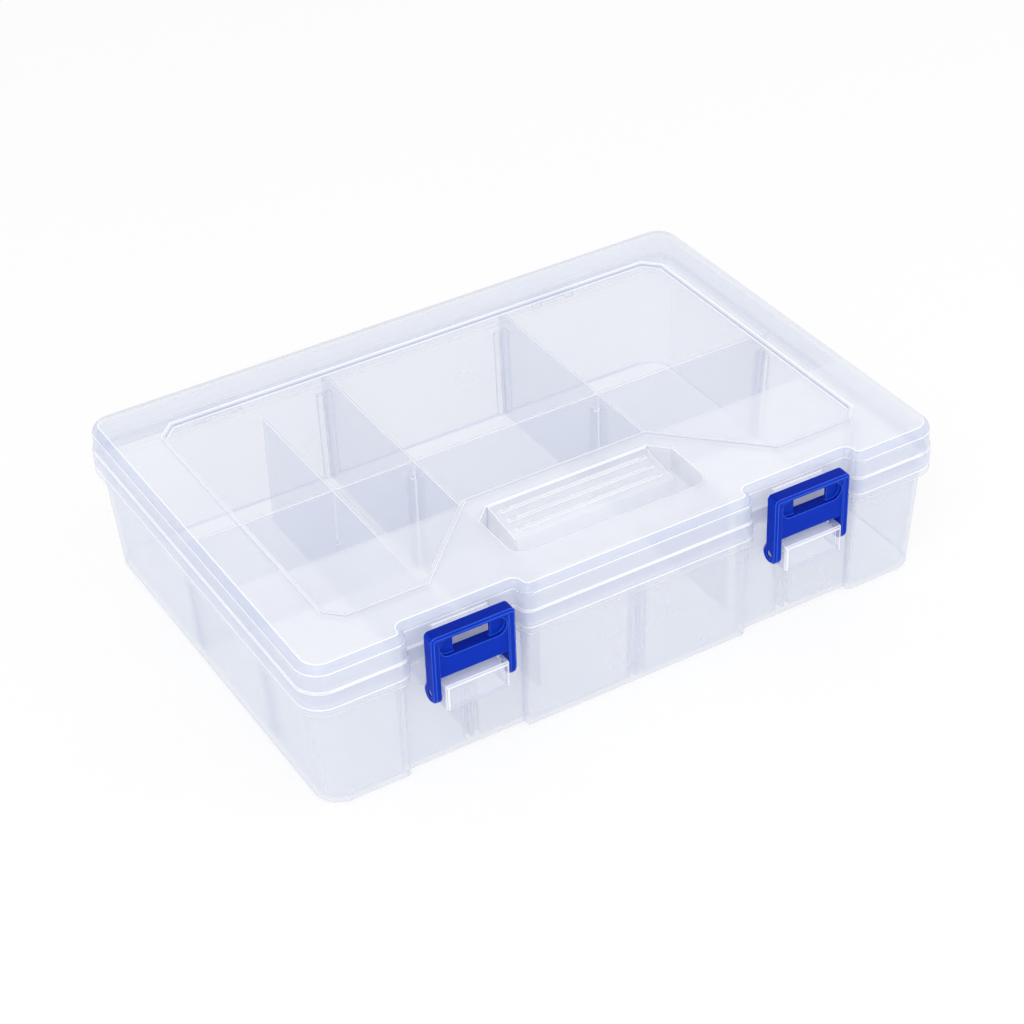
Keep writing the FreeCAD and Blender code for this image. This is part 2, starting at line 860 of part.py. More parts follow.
def hinge_clip(body, name, centre):
    """A barrel on a web behind the skirt, open below so that it snaps on its pin."""
    sketch = new_sketch(body, name + "_profile", "YZ_Plane", centre - barrel_half)
    root = half_width - size("skirt_wall") * half_share
    top = hinge_z + hinge_radius
    web_low = top - size("hinge_web")
    drop = web_low - hinge_z
    meet = math.sqrt(hinge_radius.value ** 2 - drop.value ** 2)
    middle = FreeCAD.Vector(hinge_y.value, hinge_z.value, 0)
    turn = FreeCAD.Vector(0, 0, 1)
    corner = FreeCAD.Vector(hinge_y.value - meet, web_low.value, 0)
    crest = FreeCAD.Vector(hinge_y.value, top.value, 0)
    roots = [FreeCAD.Vector(root.value, level.value, 0) for level in (top, web_low)]
    start = math.atan2(drop.value, -meet)
    circle = Part.Circle(middle, turn, hinge_radius.value)
    sketch.addGeometry(Part.LineSegment(crest, roots[0]), False)
    sketch.addGeometry(Part.LineSegment(roots[0], roots[1]), False)
    sketch.addGeometry(Part.LineSegment(roots[1], corner), False)
    sketch.addGeometry(
        Part.ArcOfCircle(circle, start, math.pi * half_share + math.tau), False
    )
    rules = Constraints(sketch)
    rules.add("Horizontal", 0)
    rules.add("Vertical", 1)
    rules.add("Horizontal", 2)
    rules.add("Coincident", 0, 2, 1, 1)
    rules.add("Coincident", 1, 2, 2, 1)
    rules.add("Coincident", 2, 2, 3, 1)
    rules.add("Tangent", 3, 2, 0, 1)
    rules.drive(hinge_radius.text, "Radius", 3, hinge_radius.value)
    rules.place("DistanceX", 3, 3, hinge_y)
    rules.place("DistanceY", 3, 3, hinge_z)
    rules.place("DistanceX", 1, 1, root)
    rules.place("DistanceY", 2, 1, web_low)
    rules.apply()
    add_circle(sketch, hinge_y, hinge_z, hinge_pin_radius + size("hinge_fit"))
    add_pad(body, name, sketch, size("barrel_length"))
    mouth = new_sketch(body, name + "_mouth", "YZ_Plane", centre)
    mouth_half = size("clip_mouth") * half_share
    add_rectangle(
        mouth,
        hinge_y - mouth_half,
        hinge_y + mouth_half,
        hinge_z - hinge_radius - hinge_radius,
        hinge_z,
    )
    add_pocket(body, name + "_opening", mouth, size("barrel_length"), both_ways=True)


def build_latch(label, place):
    """Swing latch: two legs on the pivot, a sunken face, a thumb pocket and a window."""
    body = new_body(label)
    half = latch_half
    leg = size("latch_leg")
    inner = latch_inner
    front = pivot_y - size("latch_front")
    back = pivot_y + size("latch_back")
    depth = size("latch_front") + size("latch_back")
    plate_low = pivot_z + size("plate_rise")
    top = pivot_z + size("latch_rise")
    corner = size("latch_corner")

    frame = new_sketch(body, "frame_outline", "XZ_Plane", -back)
    add_outline(
        frame,
        [
            (-half, pivot_z),
            (-inner, pivot_z),
            (-inner, plate_low),
            (inner, plate_low),
            (inner, pivot_z),
            (half, pivot_z),
            (half, top, corner),
            (-half, top, corner),
        ],
    )
    add_pad(body, "frame", frame, depth)
    eyes = []
    for name, start in (("left_eye", -half), ("right_eye", inner)):
        profile = new_sketch(body, name + "_circle", "YZ_Plane", start)
        add_circle(profile, pivot_y, pivot_z, size("latch_front"))
        eyes.append(add_pad(body, name, profile, leg))
    add_chamfer(
        body,
        "outer_edges",
        size("latch_edge"),
        lambda edge: near(edge.BoundBox.YMin, front.value)
        and near(edge.BoundBox.YMax, front.value)
        and edge.BoundBox.ZMax > plate_low.value * (1 + match_share)
        and (edge.BoundBox.ZMin > top.value - corner.value * (1 + match_share) or
             near(abs(edge.BoundBox.XMin), half.value)),
    )
    # The back is hollow above and below a ledge that carries the window's lower edge.
    middle = top - size("thumb_drop")
    end_round = size("thumb_high") * half_share
    window_low = middle - end_round
    hollow = new_sketch(body, "back_hollow_outline", "XZ_Plane", -back)
    add_rectangle(hollow, -inner, inner, pivot_z, window_low - size("window_ledge"))
    add_rectangle(hollow, -inner, inner, window_low, top - size("latch_lip"))
    add_pocket(body, "back_hollow", hollow, depth - size("plate_thick"), along_normal=True)

    face = new_sketch(body, "face_outline", "XZ_Plane", -front)
    border = size("face_border")
    add_rectangle(face, border - half, half - border, pivot_z, top - size("face_border_top"))
    add_pocket(body, "face", face, size("face_sink"))
    thumb_half = half - size("thumb_margin")
    thumb = new_sketch(body, "thumb_outline", "XZ_Plane", -front)
    add_slot(thumb, thumb_half, middle, end_round)
    add_pocket(body, "thumb_pocket", thumb, size("face_sink") + size("thumb_deep"))
    window = new_sketch(body, "window_outline", "XZ_Plane", -front)
    window_half = half - size("window_margin")
    add_rectangle(window, -window_half, window_half, window_low, middle + end_round)
    add_pocket(body, "window", window, depth)
    bore = new_sketch(body, "pivot_bore_circle", "YZ_Plane", ZERO)
    add_circle(bore, pivot_y, pivot_z, pivot_radius + size("pivot_fit"))
    add_pocket(body, "pivot_bore", bore, size("latch_width"), both_ways=True)
    body.Placement = FreeCAD.Placement(
        FreeCAD.Vector(place.value, 0, 0), FreeCAD.Rotation()
    )
    body.setExpression("Placement.Base.x", place.text)
    return body


def add_slot(sketch, half, middle, radius):
    """A level slot with round ends, centred on the sketch's upright axis."""
    run = half - radius
    turn = FreeCAD.Vector(0, 0, 1)
    quarter = math.pi * half_share
    spots = {
        (x_sign, y_sign): FreeCAD.Vector(
            run.value * x_sign, middle.value + radius.value * y_sign, 0
        )
        for x_sign in (-1, 1)
        for y_sign in (-1, 1)
    }
    sketch.addGeometry(Part.LineSegment(spots[(-1, -1)], spots[(1, -1)]), False)
    right = Part.Circle(FreeCAD.Vector(run.value, middle.value, 0), turn, radius.value)
    sketch.addGeometry(Part.ArcOfCircle(right, -quarter, quarter), False)
    sketch.addGeometry(Part.LineSegment(spots[(1, 1)], spots[(-1, 1)]), False)
    left = Part.Circle(FreeCAD.Vector(-run.value, middle.value, 0), turn, radius.value)
    sketch.addGeometry(Part.ArcOfCircle(left, quarter, quarter + math.pi), False)
    rules = Constraints(sketch)
    rules.add("Horizontal", 0)
    rules.add("Horizontal", 2)
    rules.add("Tangent", 0, 2, 1, 1)
    rules.add("Tangent", 1, 2, 2, 1)
    rules.add("Tangent", 2, 2, 3, 1)
    rules.add("Tangent", 3, 2, 0, 1)
    rules.drive(radius.text, "Radius", 1, radius.value)
    rules.place("DistanceX", 1, 3, run)
    rules.place("DistanceY", 1, 3, middle)
    rules.place("DistanceX", 3, 3, -run)
    rules.apply()


def back_wall_at(height_share):
    """Inner face of the back wall at a share of the way from the floor to the mouth."""
    low = half_width - size("foot_inset_front") - size("tray_wall")
    high = half_width - lip_inset - size("lip_wall")
    return low + (high - low) * height_share


def side_wall_at(height_share):
    """Inner face of the side wall at a share of the way from the floor to the mouth."""
    low = half_length - size("foot_inset_side") - size("tray_wall")
    high = half_length - lip_inset - size("lip_wall")
    return low + (high - low) * height_share


divider_top_share = divider_rise / (lip_top - floor_top)


def place_body(body, axis, place):
    """Stand the body at its place along one axis, by its own value in the sheet."""
    moved = FreeCAD.Vector(0, 0, 0)
    setattr(moved, axis, place.value)
    body.Placement = FreeCAD.Placement(moved, FreeCAD.Rotation())
    body.setExpression("Placement.Base." + axis, place.text)


def build_guided_cross_divider(label, place):
    """Cross divider against the back wall, with guide ribs for the long dividers on both faces."""
    body = new_body(label)
    low_back = back_wall_at(ZERO) - divider_clear
    high_back = back_wall_at(divider_top_share) - divider_clear
    front = high_back - (size("box_width") - size("cross_short"))
    plate = new_sketch(body, "plate_outline", "YZ_Plane", ZERO)
    add_outline(
        plate,
        [(front, floor_top), (low_back, floor_top), (high_back, divider_top), (front, divider_top)],
    )
    add_pad(body, "plate", plate, divider_thick, both_ways=True)
    guides = new_sketch(body, "guide_outline", "YZ_Plane", ZERO)
    middle = size("long_place")
    guide = size("guide_thick")
    guide_top = divider_top - size("guide_drop")
    near_side = middle - slot_gap_half
    far_side = middle + slot_gap_half
    add_rectangle(guides, near_side - guide, near_side, floor_top, guide_top)
    add_rectangle(guides, far_side, far_side + guide, floor_top, guide_top)
    reach = size("guide_reach")
    add_pad(body, "guides", guides, divider_thick + reach + reach, both_ways=True)
    place_body(body, "x", place)
    return body


def build_lapped_cross_divider(label, place):
    """Cross divider in the front wall's slot, slotted from below to lap over the long divider."""
    body = new_body(label)
    front = -(recess_wall - lip_inset - size("lip_wall") - divider_clear)
    back = front + (size("box_width") - size("cross_left_short"))
    lap_top = floor_top + divider_rise * half_share + divider_clear
    near_side = size("long_place") - slot_gap_half
    far_side = size("long_place") + slot_gap_half
    plate = new_sketch(body, "plate_outline", "YZ_Plane", ZERO)
    add_outline(
        plate,
        [
            (front, floor_top),
            (near_side, floor_top),
            (near_side, lap_top),
            (far_side, lap_top),
            (far_side, floor_top),
            (back, floor_top),
            (back, divider_top),
            (front, divider_top),
        ],
    )
    add_pad(body, "plate", plate, divider_thick, both_ways=True)
    place_body(body, "x", place)
    return body


def build_long_divider(label, left_low, left_high, right_low, right_high, lap):
    """Long divider between two places; a lap is a slot from above for a cross divider."""
    body = new_body(label)
    corners = [(left_low, floor_top), (right_low, floor_top), (right_high, divider_top)]
    if lap is not None:
        lap_low = floor_top + divider_rise * half_share
        corners.append((lap + slot_gap_half, divider_top))
        corners.append((lap + slot_gap_half, lap_low))
        corners.append((lap - slot_gap_half, lap_low))
        corners.append((lap - slot_gap_half, divider_top))
    corners.append((left_high, divider_top))
    plate = new_sketch(body, "plate_outline", "XZ_Plane", ZERO)
    add_outline(plate, corners)
    add_pad(body, "plate", plate, divider_thick, both_ways=True)
    place_body(body, "y", size("long_place"))
    return body


def build_all():
    """Every piece of the box, in the order in which it goes together."""
    pieces = [build_tray(), build_lid()]
    pieces.append(build_latch("latch_left", -latch_place))
    pieces.append(build_latch("latch_right", latch_place))
    left_place = -size("cross_left_place")
    middle_place = -size("cross_middle_place")
    right_place = size("cross_right_place")
    pieces.append(build_lapped_cross_divider("left_cross_divider", left_place))
    pieces.append(build_guided_cross_divider("middle_cross_divider", middle_place))
    pieces.append(build_guided_cross_divider("right_cross_divider", right_place))
    low_side = side_wall_at(ZERO) - divider_clear
    high_side = side_wall_at(divider_top_share) - divider_clear
    beside = divider_half + divider_clear
    left_end = middle_place - beside
    pieces.append(
        build_long_divider(
            "left_long_divider", -low_side, -high_side, left_end, left_end, left_place
        )
    )
    middle_start = middle_place + beside
    middle_end = right_place - beside
    pieces.append(
        build_long_divider(
            "middle_long_divider", middle_start, middle_start, middle_end, middle_end, None
        )
    )
    right_start = right_place + beside
    pieces.append(
        build_long_divider(
            "right_long_divider", right_start, right_start, low_side, high_side, None
        )
    )
    return pieces


def check_and_write(pieces):
    """Stop on any failed object or bad solid, then write one file for each piece."""
    doc.recompute()
    for thing in doc.Objects:
        if "Invalid" in thing.State or "Error" in thing.State:
            raise RuntimeError("%s failed: %s" % (thing.Label, thing.State))
    for body in pieces:
        shape = body.Shape
        if shape.isNull() or not shape.isValid() or len(shape.Solids) != 1:
            raise RuntimeError("%s is not one sound solid" % body.Label)
        print("%-22s volume %10.1f  %s" % (body.Label, shape.Volume, shape.BoundBox))
    os.makedirs("parts", exist_ok=True)
    for body in pieces:
        body.Shape.exportStep("parts/%s.step" % body.Label)


check_and_write(build_all())
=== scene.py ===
"""Clear compartment storage box, dressed.

The box has a tray, a hinged lid, two blue swing latches and six loose dividers. Lengths are in
metres, in the part's frame: +X to the viewer's right, +Y from the latches to the hinge, +Z up.
"""

import logging
import math
from dataclasses import dataclass
from enum import Enum, IntEnum
from functools import cache
from typing import Any, Mapping, Protocol, Sequence

import bmesh
import bpy
import numpy as np
from mathutils import Matrix, Vector
from mathutils.geometry import delaunay_2d_cdt


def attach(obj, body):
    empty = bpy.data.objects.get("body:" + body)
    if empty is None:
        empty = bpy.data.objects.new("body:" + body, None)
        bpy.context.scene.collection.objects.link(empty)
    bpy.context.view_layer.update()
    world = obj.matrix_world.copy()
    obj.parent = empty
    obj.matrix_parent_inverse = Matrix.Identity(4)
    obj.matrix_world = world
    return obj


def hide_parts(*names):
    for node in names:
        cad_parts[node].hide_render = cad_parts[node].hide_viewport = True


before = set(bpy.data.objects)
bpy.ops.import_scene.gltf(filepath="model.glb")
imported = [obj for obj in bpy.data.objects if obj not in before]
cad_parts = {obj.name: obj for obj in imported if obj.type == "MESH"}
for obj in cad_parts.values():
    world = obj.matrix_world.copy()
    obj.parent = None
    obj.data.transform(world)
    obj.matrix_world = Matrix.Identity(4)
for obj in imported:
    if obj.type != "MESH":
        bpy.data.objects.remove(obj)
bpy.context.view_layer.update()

LOG = logging.getLogger("storage_box")
MERGE_DISTANCE = 1e-6
TRIANGLE_CORNERS = 3
QUAD_CORNERS = 4
NOISE_MEAN = 0.5
WHITE = (1.0, 1.0, 1.0, 1.0)

Colour = tuple[float, float, float]
Triple = tuple[float, float, float]
Slope = tuple[float, float]

# A length that reaches past the box on every side.
FAR = 1.0

# Least and greatest rise of a face, which is the upward part of its normal.
ANY_SLOPE: Slope = (-1.01, 1.01)
UPRIGHT: Slope = (-0.5, 0.5)
LEVEL_TOP: Slope = (0.98, 1.01)
LEVEL_UNDERSIDE: Slope = (-1.01, -0.98)

# Sockets of a colour Mix node, and the triangulation that stays inside its border.
MIX_FACTOR, MIX_FIRST, MIX_SECOND, MIX_RESULT = 0, 6, 7, 2
INSIDE_TRIANGLES = 1

# Material slots that every moulded piece has. The edge slot dresses the small edge rounds in a
# whiter or brighter plastic than the faces, a painted highlight.
FACE_SLOT, EDGE_SLOT = 0, 1


class Body(Enum):
    """Moving bodies that a piece can ride on."""

    TRAY = "tray"
    LID = "lid"
    LEFT_LATCH = "left_latch"
    RIGHT_LATCH = "right_latch"


class Slot(Enum):
    """Material slots of the record."""

    CLEAR = "clear_plastic"
    DIVIDER = "divider_plastic"
    LATCH = "latch_plastic"


class Hand(Enum):
    """The two latches, with the node and the body of each."""

    LEFT = ("latch_left", Body.LEFT_LATCH)
    RIGHT = ("latch_right", Body.RIGHT_LATCH)


class TrayZone(IntEnum):
    """Further material slots of the tray."""

    BRACKET = 2
    SHADED_EDGE = 3
    FLOOR = 4
    INNER_EDGE = 5


class LidZone(IntEnum):
    """Further material slots of the lid."""

    PANEL = 2
    # Slots 3 and 4 hold painted shade: darker lavender plastic on the upright sides and on a band
    # of the rounded top edge.
    SIDE = 3
    ROUND = 4
    POCKET = 5


class LatchZone(IntEnum):
    """Further material slot of a latch, for its painted shade."""

    PAINTED_SHADE = 2


@dataclass(frozen=True)
class Tone:
    """The light and the shaded colour of a plastic, which mix in soft clouds."""

    light: Colour
    shaded: Colour


class Channel:
    """A number socket of a node tree that joins in Python arithmetic."""

    def __init__(self, graph: "NodeGraph", socket: bpy.types.NodeSocket) -> None:
        """Wrap a socket.

        Args:
            graph: The node tree that the socket belongs to.
            socket: The output socket to wrap.
        """
        self.graph = graph
        self.socket = socket

    def reckon(self, operation: str, first: Any, second: Any = 0.0) -> "Channel":
        """Add a Math node.

        Args:
            operation: The Math node's operation.
            first: Its first operand.
            second: Its second operand, left at zero where it has none.

        Returns:
            The node's result.
        """
        node = self.graph.make("ShaderNodeMath", {"operation": operation}, {0: first, 1: second})
        return self.graph.output(node)

    def __add__(self, other: Any) -> "Channel":
        """Sum."""
        return self.reckon("ADD", self, other)

    def __radd__(self, other: Any) -> "Channel":
        """Sum with the number first."""
        return self.reckon("ADD", other, self)

    def __sub__(self, other: Any) -> "Channel":
        """Difference."""
        return self.reckon("SUBTRACT", self, other)

    def __rsub__(self, other: Any) -> "Channel":
        """Difference from a number."""
        return self.reckon("SUBTRACT", other, self)

    def __mul__(self, other: Any) -> "Channel":
        """Product."""
        return self.reckon("MULTIPLY", self, other)

    def __rmul__(self, other: Any) -> "Channel":
        """Product with the number first."""
        return self.reckon("MULTIPLY", other, self)

    def __truediv__(self, other: Any) -> "Channel":
        """Quotient."""
        return self.reckon("DIVIDE", self, other)

    def __pow__(self, other: Any) -> "Channel":
        """Power."""
        return self.reckon("POWER", self, other)

    def at_least(self, low: float) -> "Channel":
        """The larger of the value and a floor."""
        return self.reckon("MAXIMUM", self, low)

    def at_most(self, high: float) -> "Channel":
        """The smaller of the value and a ceiling."""
        return self.reckon("MINIMUM", self, high)


class NodeGraph:
    """A node tree that is filled in from Python."""

    def __init__(self, tree: bpy.types.NodeTree) -> None:
        """Take over an empty tree."""
        self.tree = tree

    @classmethod
    def emptied(cls, owner: "bpy.types.Material | bpy.types.World") -> "NodeGraph":
        """The emptied node tree of a material or a world.

        Args:
            owner: The material or world to fill.

        Returns:
            A graph over its tree.
        """
        owner.use_nodes = True
        owner.node_tree.nodes.clear()
        return cls(owner.node_tree)

    def make(
        self,
        kind: str,
        settings: Mapping[str, Any] | None = None,
        inputs: Mapping[str | int, Any] | None = None,
    ) -> bpy.types.Node:
        """Add any node.

        Args:
            kind: The node's type name.
            settings: Properties of the node, set first.
            inputs: Values, channels or sockets for its inputs, by name or number.

        Returns:
            The new node.
        """
        node = self.tree.nodes.new(kind)
        for name, value in (settings or {}).items():
            setattr(node, name, value)
        for key, value in (inputs or {}).items():
            socket = node.inputs[key]
            if isinstance(value, Channel):
                self.tree.links.new(value.socket, socket)
            elif isinstance(value, bpy.types.NodeSocket):
                self.tree.links.new(value, socket)
            else:
                socket.default_value = value
        return node

    def output(self, node: bpy.types.Node, key: str | int = 0) -> Channel:
        """One output of a node as a channel."""
        return Channel(self, node.outputs[key])

    def blend(self, factor: Channel, tone: Tone) -> bpy.types.NodeSocket:
        """Mix the two colours of a tone.

        Args:
            factor: Share of the light colour.
            tone: The colours.

        Returns:
            The colour socket of the mix.
        """
        node = self.make(
            "ShaderNodeMix",
            {"data_type": "RGBA"},
            {MIX_FACTOR: factor, MIX_FIRST: (*tone.shaded, 1.0), MIX_SECOND: (*tone.light, 1.0)},
        )
        return node.outputs[MIX_RESULT]

    def noise(self, place: Any, grain: float, detail: float = 2.0) -> Channel:
        """Smooth noise.

        Args:
            place: The coordinates that it reads.
            grain: Size of one patch, in metres.
            detail: Octaves of finer noise.

        Returns:
            The noise, about one half on average.
        """
        settings = {"noise_dimensions": "3D"}
        inputs = {"Vector": place, "Scale": 1.0 / grain, "Detail": detail, "Roughness": 0.5}
        return self.output(self.make("ShaderNodeTexNoise", settings, inputs), "Fac")

    def seen(self) -> Channel:
        """One for rays that show up in the picture, nought for those that only carry light.

        Returns:
            The sum of the camera, glossy and transmission rays, at most one.
        """
        path = self.make("ShaderNodeLightPath")
        camera, glossy, through = (
            self.output(path, f"Is {kind} Ray") for kind in ("Camera", "Glossy", "Transmission")
        )
        return (camera + glossy + through).at_most(1.0)

    def surface(
        self, inputs: Mapping[str, Any], relief: Channel, height: float, strength: float
    ) -> None:
        """Finish a material with a Principled surface over a fine relief.

        Args:
            inputs: Inputs of the surface.
            relief: Pattern of the relief.
            height: Height of the relief.
            strength: Share of the relief that shows.
        """
        bump = self.make(
            "ShaderNodeBump",
            {},
            {"Strength": strength, "Distance": height, "Height": relief},
        )
        shader = self.make("ShaderNodeBsdfPrincipled", {}, {**inputs, "Normal": bump.outputs[0]})
        self.make("ShaderNodeOutputMaterial", {}, {"Surface": shader.outputs[0]})


@dataclass(frozen=True)
class ClearPlastic:
    """Clear moulded plastic: see-through head on, milkier edge on, with much light let through.

    A piece may also carry a painted reflection: it turns milkier in front of a line across it.
    """

    name: str
    tone: Tone
    haze: float
    slant_haze: float
    roughness: float
    slant_blend: float = 0.5
    slant_power: float = 3.0
    refraction: float = 1.49
    cloud_size: float = 0.045
    cloud_detail: float = 3.0
    cloud_share: float = 0.3
    ripple_size: float = 0.018
    ripple_height: float = 0.00002
    ripple_strength: float = 0.4
    least_roughness: float = 0.7
    roughness_spread: float = 0.6
    light_pass: float = 0.55
    # Extra haze in front of the line: a painted reflection.
    painted_reflection_haze: float = 0.0
    front_line: float = -0.0377
    front_soft: float = 0.001

    @cache
    def material(self) -> bpy.types.Material:
        """Build the finish, the first time that it is asked for.

        Returns:
            A material on Object coordinates.
        """
        material = bpy.data.materials.new(self.name)
        graph = NodeGraph.emptied(material)
        place = graph.output(graph.make("ShaderNodeTexCoord"), "Object")
        cloud = graph.noise(place, self.cloud_size, self.cloud_detail)
        ripple = graph.noise(place, self.ripple_size)
        weight = graph.make("ShaderNodeLayerWeight", {}, {"Blend": self.slant_blend})
        slant = graph.output(weight, "Facing") ** self.slant_power
        uneven = 1.0 + (cloud - NOISE_MEAN) * self.cloud_share
        milk = (self.haze_over(graph, place) * uneven + self.slant_haze * slant).at_most(1.0)
        shadow = graph.output(graph.make("ShaderNodeLightPath"), "Is Shadow Ray")
        spread = self.least_roughness + ripple * self.roughness_spread
        inputs = {
            "Base Color": graph.blend(cloud, self.tone),
            "Roughness": self.roughness * spread,
            "IOR": self.refraction,
            "Alpha": milk * (1.0 - self.light_pass * shadow),
        }
        graph.surface(inputs, ripple, self.ripple_height, self.ripple_strength)
        return material

    def haze_over(self, graph: NodeGraph, place: Channel) -> Channel | float:
        """The haze of a face that is seen head on.

        Args:
            graph: The material's nodes.
            place: Object coordinates.

        Returns:
            One value, or one that rises in front of the line, where a painted reflection lies.
        """
        if not self.painted_reflection_haze:
            return self.haze
        split = graph.make("ShaderNodeSeparateXYZ", {}, {"Vector": place})
        ahead = (self.front_line - graph.output(split, "Y")) / self.front_soft
        return self.haze + self.painted_reflection_haze * ahead.at_least(0.0).at_most(1.0)


@dataclass(frozen=True)
class LatchPlastic:
    """Coloured moulded plastic with a fine grain."""

    name: str
    tone: Tone
    roughness: float
    gloss: float
    refraction: float = 1.45
    grain_size: float = 0.0005
    grain_height: float = 0.000012
    grain_strength: float = 0.35
    roughness_spread: float = 0.12
    flow_size: float = 0.012
    flow_detail: float = 3.0

    def material(self) -> bpy.types.Material:
        """Build the finish.

        Returns:
            A material on Object coordinates.
        """
        material = bpy.data.materials.new(self.name)
        graph = NodeGraph.emptied(material)
        place = graph.output(graph.make("ShaderNodeTexCoord"), "Object")
        flow = graph.noise(place, self.flow_size, self.flow_detail)
        grain = graph.noise(place, self.grain_size)
        inputs = {
            "Base Color": graph.blend(flow, self.tone),
            "Roughness": self.roughness + (grain - NOISE_MEAN) * self.roughness_spread,
            "IOR": self.refraction,
            "Specular IOR Level": self.gloss,
        }
        graph.surface(inputs, grain, self.grain_height, self.grain_strength)
        return material


@dataclass(frozen=True)
class PaleFloor:
    """White table top that keeps a soft shadow."""

    name: str = "pale_floor"
    colour: Colour = (0.94, 0.94, 0.94)
    lift: float = 0.7

    def material(self) -> bpy.types.Material:
        """Build the finish.

        Returns:
            A matt white that is partly lit by itself where the camera sees it.
        """
        material = bpy.data.materials.new(self.name)
        graph = NodeGraph.emptied(material)
        share = graph.seen() * self.lift
        matt = graph.make("ShaderNodeBsdfDiffuse", {}, {"Color": (*self.colour, 1.0)})
        glow = graph.make("ShaderNodeEmission", {}, {"Color": WHITE, "Strength": 1.0})
        mixed = graph.make(
            "ShaderNodeMixShader", {}, {0: share, 1: matt.outputs[0], 2: glow.outputs[0]}
        )
        graph.make("ShaderNodeOutputMaterial", {}, {"Surface": mixed.outputs[0]})
        return material


@dataclass(frozen=True)
class Finish:
    """The materials of one kind of piece: faces, rounded edges, then further zones."""

    slots: tuple[bpy.types.Material, ...]

    @classmethod
    def of(cls, *plastics: ClearPlastic | LatchPlastic) -> "Finish":
        """A finish from plastics in the order of their slots."""
        return cls(tuple(plastic.material() for plastic in plastics))


@dataclass(frozen=True)
class Zone:
    """Faces, or rounded edges, that share a place and a slope, and the slot that dresses them."""

    slot_number: int
    low: Triple = (-FAR, -FAR, -FAR)
    high: Triple = (FAR, FAR, FAR)
    slope: Slope = ANY_SLOPE
    rounded: bool = False

    @classmethod
    def layer(
        cls,
        slot_number: int,
        low: float,
        high: float,
        slope: Slope = ANY_SLOPE,
        rounded: bool = False,
    ) -> "Zone":
        """A zone between two heights, across the whole box.

        Args:
            slot_number: Slot that dresses it.
            low: Lower height.
            high: Upper height.
            slope: Least and greatest rise of its faces.
            rounded: Whether it holds rounded edges instead of faces.

        Returns:
            The zone.
        """
        return cls(slot_number, (-FAR, -FAR, low), (FAR, FAR, high), slope, rounded)

    def holds(self, middle: Vector, normal: Vector) -> bool:
        """Whether a face belongs to the zone.

        Args:
            middle: Centre of the face.
            normal: Direction that the face looks in.

        Returns:
            True where the centre lies in the box and the normal's rise is within the slope.
        """
        inside = all(a <= c <= b for a, c, b in zip(self.low, middle, self.high))
        return inside and self.slope[0] <= normal.z <= self.slope[1]


